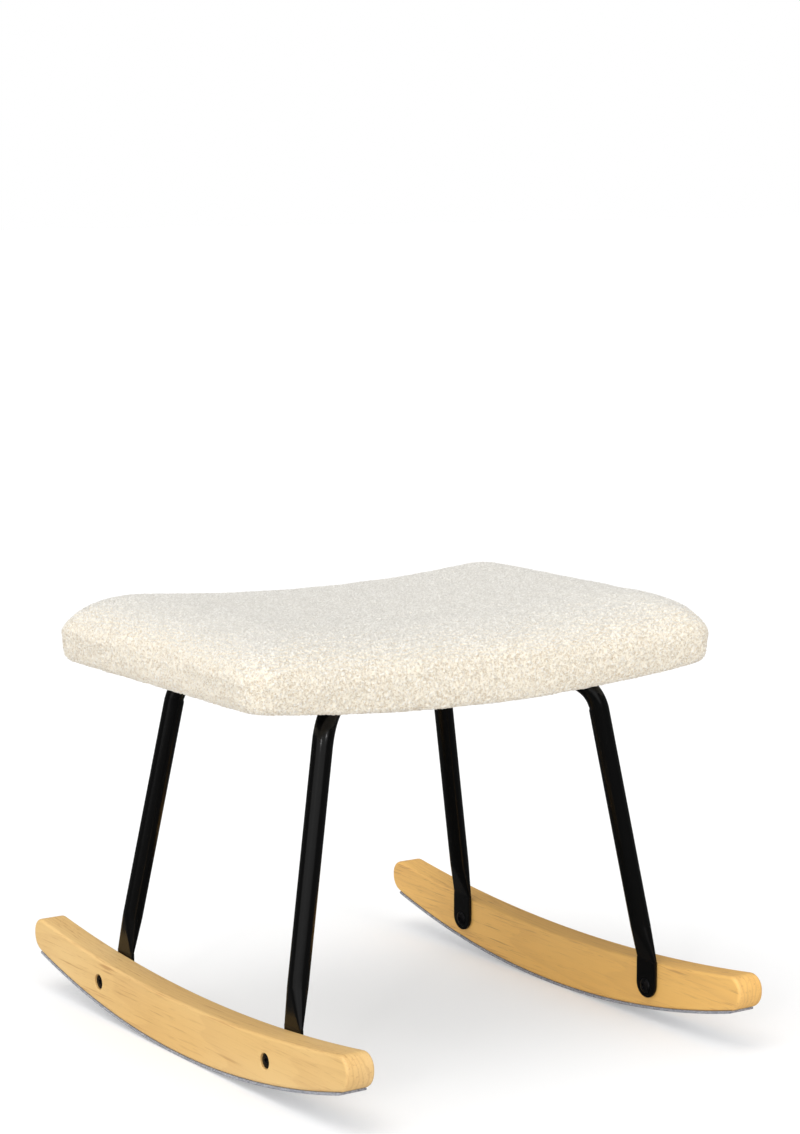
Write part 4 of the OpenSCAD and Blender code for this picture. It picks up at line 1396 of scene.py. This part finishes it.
class FOOTSTOOL_OT_tubes(bpy.types.Operator):
    """Make the crossed tubes of the frame, with their welds"""

    bl_idname = "footstool.tubes"
    bl_label = "Tube frame"

    def execute(self, context):
        s, lines = context.scene.footstool_frame, frame_lines(context.scene)
        finish = coat_finish(context.scene.footstool_colours)
        dress(make_long_tube(s, lines), finish, "frame_black", "frame_long_tube")
        for name, sx, sy in (("front", 1, -1), ("back", -1, 1)):
            tube = make_short_tube(s, lines, sx, sy, f"frame_short_tube_{name}_steel")
            dress(tube, finish, "frame_black", f"frame_short_tube_{name}")
        return {"FINISHED"}


class FOOTSTOOL_OT_foot_bolts(bpy.types.Operator):
    """Make the bolts and sleeve nuts that hold the feet to the rockers"""

    bl_idname = "footstool.foot_bolts"
    bl_label = "Foot bolts and nuts"

    def execute(self, context):
        scene = context.scene
        s, rocker, lines = scene.footstool_frame, scene.footstool_rocker, frame_lines(scene)
        colours = scene.footstool_colours
        finish = steel_finish("blackened steel", colours.bolt, colours.bolt_edge, 0.3, 900)
        screw, screw_faces = button_screw(
            s.foot_head, s.foot_head_rise, s.foot_key, s.foot_bolt, s.foot_bolt_length, 0.00125
        )
        nut, nut_faces = sleeve_nut(s)
        head_x = lines.foot_x - s.foot_thickness / 2
        floor_x = rocker.outer_x - rocker.sink_depth
        for name, side in SIDES.items():
            bolts, nuts = [], []
            for sy, turn in ((-1, 0.3 + side), (1, 1.1 + side)):
                spin = turned(Z_AXIS, X_AXIS, turn)
                place = mirrored([head_x, s.foot_y, s.foot_height], side, sy)
                bolts.append((set_up(screw, place, -side * X_AXIS, spin), screw_faces))
                place = mirrored([floor_x, s.foot_y, s.foot_height], side, sy)
                nuts.append((set_up(nut, place, side * X_AXIS, spin), nut_faces))
            for kind, node, parts in (("bolts", "rocker_bolts", bolts),
                                      ("sleeve_nuts", "sleeve_nuts", nuts)):
                piece = new_object(f"foot_{kind}_{name}", *joined(parts))
                smooth(piece, 28)
                dress(piece, finish, "black_bolts", f"{node}_{name}")
        return {"FINISHED"}


class FOOTSTOOL_OT_seat_hardware(bpy.types.Operator):
    """Make the seat bolts, and finish the board and what holds it"""

    bl_idname = "footstool.seat_hardware"
    bl_label = "Board and seat bolts"

    def execute(self, context):
        scene = context.scene
        s, seat, lines = scene.footstool_frame, scene.footstool_seat, frame_lines(scene)
        colours = scene.footstool_colours
        screw, faces = button_screw(
            s.seat_head, s.seat_head_rise, s.seat_key, s.seat_bolt, s.seat_bolt_length, 0.001
        )
        low = s.arm_height - s.tube / 2 - s.washer
        bolts = []
        for k, (sx, sy) in enumerate(AROUND):
            place = mirrored([*lines.bolt, low], sx, sy)
            spin = turned(X_AXIS, Z_AXIS, 0.4 * k)
            bolts.append((set_up(screw, place, -Z_AXIS, spin), faces))
        piece = new_object("seat_button_bolts", *joined(bolts))
        smooth(piece, 28)
        black = steel_finish("blackened bolt steel", colours.bolt, colours.bolt_edge, 0.3, 800)
        dress(piece, black, "black_bolts", "seat_bolts")
        zinc = steel_finish("zinc plated steel", colours.zinc, colours.zinc_dull, 0.28, 600)
        paint(zinc, "seat_bolt_washers", "seat_tee_nuts")
        paint(nylon_finish(colours), "saddle_spacers")
        paint(plywood_finish(colours, seat.bend, seat.board_height), "seat_board")
        return {"FINISHED"}


class FOOTSTOOL_OT_cushion(bpy.types.Operator):
    """Make the padded seat in its looped fabric"""

    bl_idname = "footstool.cushion"
    bl_label = "Padded seat"

    def execute(self, context):
        cushion = make_cushion(context.scene.footstool_seat)
        finish = looped_finish(context.scene.footstool_colours)
        dress(cushion, finish, "looped_fabric", "fabric_cover", "foam_pad")
        return {"FINISHED"}


class FOOTSTOOL_OT_dust_cover(bpy.types.Operator):
    """Make the dust cover under the seat, and its staples"""

    bl_idname = "footstool.dust_cover"
    bl_label = "Dust cover"

    def execute(self, context):
        scene = context.scene
        seat, tubes, lines = scene.footstool_seat, scene.footstool_frame, frame_lines(scene)
        colours = scene.footstool_colours
        cloth = make_dust_cover(seat, tubes, lines)
        dress(cloth, dust_finish(colours), "dust_cloth", "dust_cover")
        wire = steel_finish("staple wire", colours.zinc, colours.zinc_dull, 0.25, 700)
        dress(make_staples(seat), wire, "zinc_steel", "dust_cover_staples")
        return {"FINISHED"}


class FOOTSTOOL_OT_stage(bpy.types.Operator):
    """Make the floor, the light and the camera"""

    bl_idname = "footstool.stage"
    bl_label = "Floor, light and camera"

    def execute(self, context):
        scene = context.scene
        make_camera(scene)
        make_floor(scene.footstool_colours)
        make_light(scene)
        return {"FINISHED"}


def aimed(scene, data, way):
    """A linked camera or lamp that looks one way."""
    made = bpy.data.objects.new(data.name, data)
    scene.collection.objects.link(made)
    made.rotation_mode = "QUATERNION"
    made.rotation_quaternion = Vector(way).to_track_quat("-Z", "Y")
    return made


def make_camera(scene):
    """Camera at the photograph's viewing angle. The picture is 800 wide and 1134 high."""
    focal_pixels, picture_high = 2979.832, 1134
    view = bpy.data.cameras.new("camera")
    view.sensor_width = 36
    view.lens = view.sensor_width * focal_pixels / picture_high
    view.clip_end = 100
    scene.camera = aimed(scene, view, (0.5556, 0.8199, -0.1381))
    scene.camera.location = (-1.7809, -2.6573, 0.9482)


def make_floor(colours):
    """Plain floor that shows white where it is lit, and keeps the stool's shadow."""
    half = 30
    mesh = bpy.data.meshes.new("floor")
    mesh.from_pydata([(half * x, half * y, 0) for x, y in AROUND], [], [(0, 1, 2, 3)])
    floor = bpy.data.objects.new("floor", mesh)
    bpy.context.scene.collection.objects.link(floor)
    floor.location.z = -0.0002
    material = bpy.data.materials.new("plain floor")
    w = Wiring(material)
    other = w.add("ShaderNodeBsdfDiffuse", {"Color": colours.floor}).outputs[0]
    dim = w.grey("ShaderNodeBsdfDiffuse", 0.10)
    veil = w.grey("ShaderNodeBsdfDiffuse", 0.68)
    glow = w.grey("ShaderNodeEmission", 1, Strength=0.32)
    seen = w.add("ShaderNodeAddShader", {0: veil, 1: glow}).outputs[0]
    w.add("ShaderNodeOutputMaterial", {"Surface": w.by_ray(seen, dim, other)})
    mesh.materials.append(material)


def make_lamp(scene, name, strength, spread, way):
    """A far lamp of a strength, as wide as an angle in degrees, that shines one way."""
    lamp = bpy.data.lights.new(name, "SUN")
    lamp.energy = strength
    lamp.angle = math.radians(spread)
    aimed(scene, lamp, way)


def make_light(scene):
    """White surroundings, a soft lamp overhead, a broad one in front and two for glints."""
    world = bpy.data.worlds.new("studio")
    w = Wiring(world)
    shaders = [w.grey("ShaderNodeBackground", 1, Strength=light) for light in (1, 0.10, 0.58)]
    w.add("ShaderNodeOutputWorld", {"Surface": w.by_ray(*shaders)})
    scene.world = world
    make_lamp(scene, "key", 0.88, 45, (0.28, -0.04, -0.96))
    make_lamp(scene, "fill", 1.49, 110, (0.60, 0.66, -0.46))
    make_lamp(scene, "left glint", 0.25, 6, (0.72, 0.60, -0.34))
    make_lamp(scene, "right glint", 0.23, 6, (0.03, 0.91, -0.41))


OPERATORS = (
    FOOTSTOOL_OT_stage,
    FOOTSTOOL_OT_rockers,
    FOOTSTOOL_OT_felt,
    FOOTSTOOL_OT_tubes,
    FOOTSTOOL_OT_foot_bolts,
    FOOTSTOOL_OT_seat_hardware,
    FOOTSTOOL_OT_cushion,
    FOOTSTOOL_OT_dust_cover,
)
GROUPS = {
    "footstool_rocker": FootstoolRockerSizes,
    "footstool_frame": FootstoolFrameSizes,
    "footstool_seat": FootstoolSeatSizes,
    "footstool_colours": FootstoolColours,
}


class FOOTSTOOL_PT_pieces(bpy.types.Panel):
    """Lists the pieces of the footstool, its sizes and its colours"""

    bl_idname = "FOOTSTOOL_PT_pieces"
    bl_label = "Footstool"
    bl_space_type = "VIEW_3D"
    bl_region_type = "UI"
    bl_category = "Footstool"

    def draw(self, context):
        for operator in OPERATORS:
            self.layout.operator(operator.bl_idname)
        for group_name, group in GROUPS.items():
            box = self.layout.box()
            for name in group.__annotations__:
                box.prop(getattr(context.scene, group_name), name)


def register():
    """Registers the classes, and puts the sizes and colours on the scene."""
    for group_name, group in GROUPS.items():
        bpy.utils.register_class(group)
        setattr(bpy.types.Scene, group_name, PointerProperty(type=group))
    for operator in OPERATORS:
        bpy.utils.register_class(operator)
    bpy.utils.register_class(FOOTSTOOL_PT_pieces)


def unregister():
    """Takes all that register added away."""
    bpy.utils.unregister_class(FOOTSTOOL_PT_pieces)
    for operator in reversed(OPERATORS):
        bpy.utils.unregister_class(operator)
    for group_name, group in GROUPS.items():
        delattr(bpy.types.Scene, group_name)
        bpy.utils.unregister_class(group)


def main():
    """Makes every piece and the stage."""
    register()
    bpy.context.scene.view_settings.view_transform = "Standard"
    bpy.ops.footstool.stage()
    bpy.ops.footstool.rockers()
    bpy.ops.footstool.felt()
    bpy.ops.footstool.tubes()
    bpy.ops.footstool.foot_bolts()
    bpy.ops.footstool.seat_hardware()
    bpy.ops.footstool.cushion()
    bpy.ops.footstool.dust_cover()


if __name__ == "__main__":
    main()
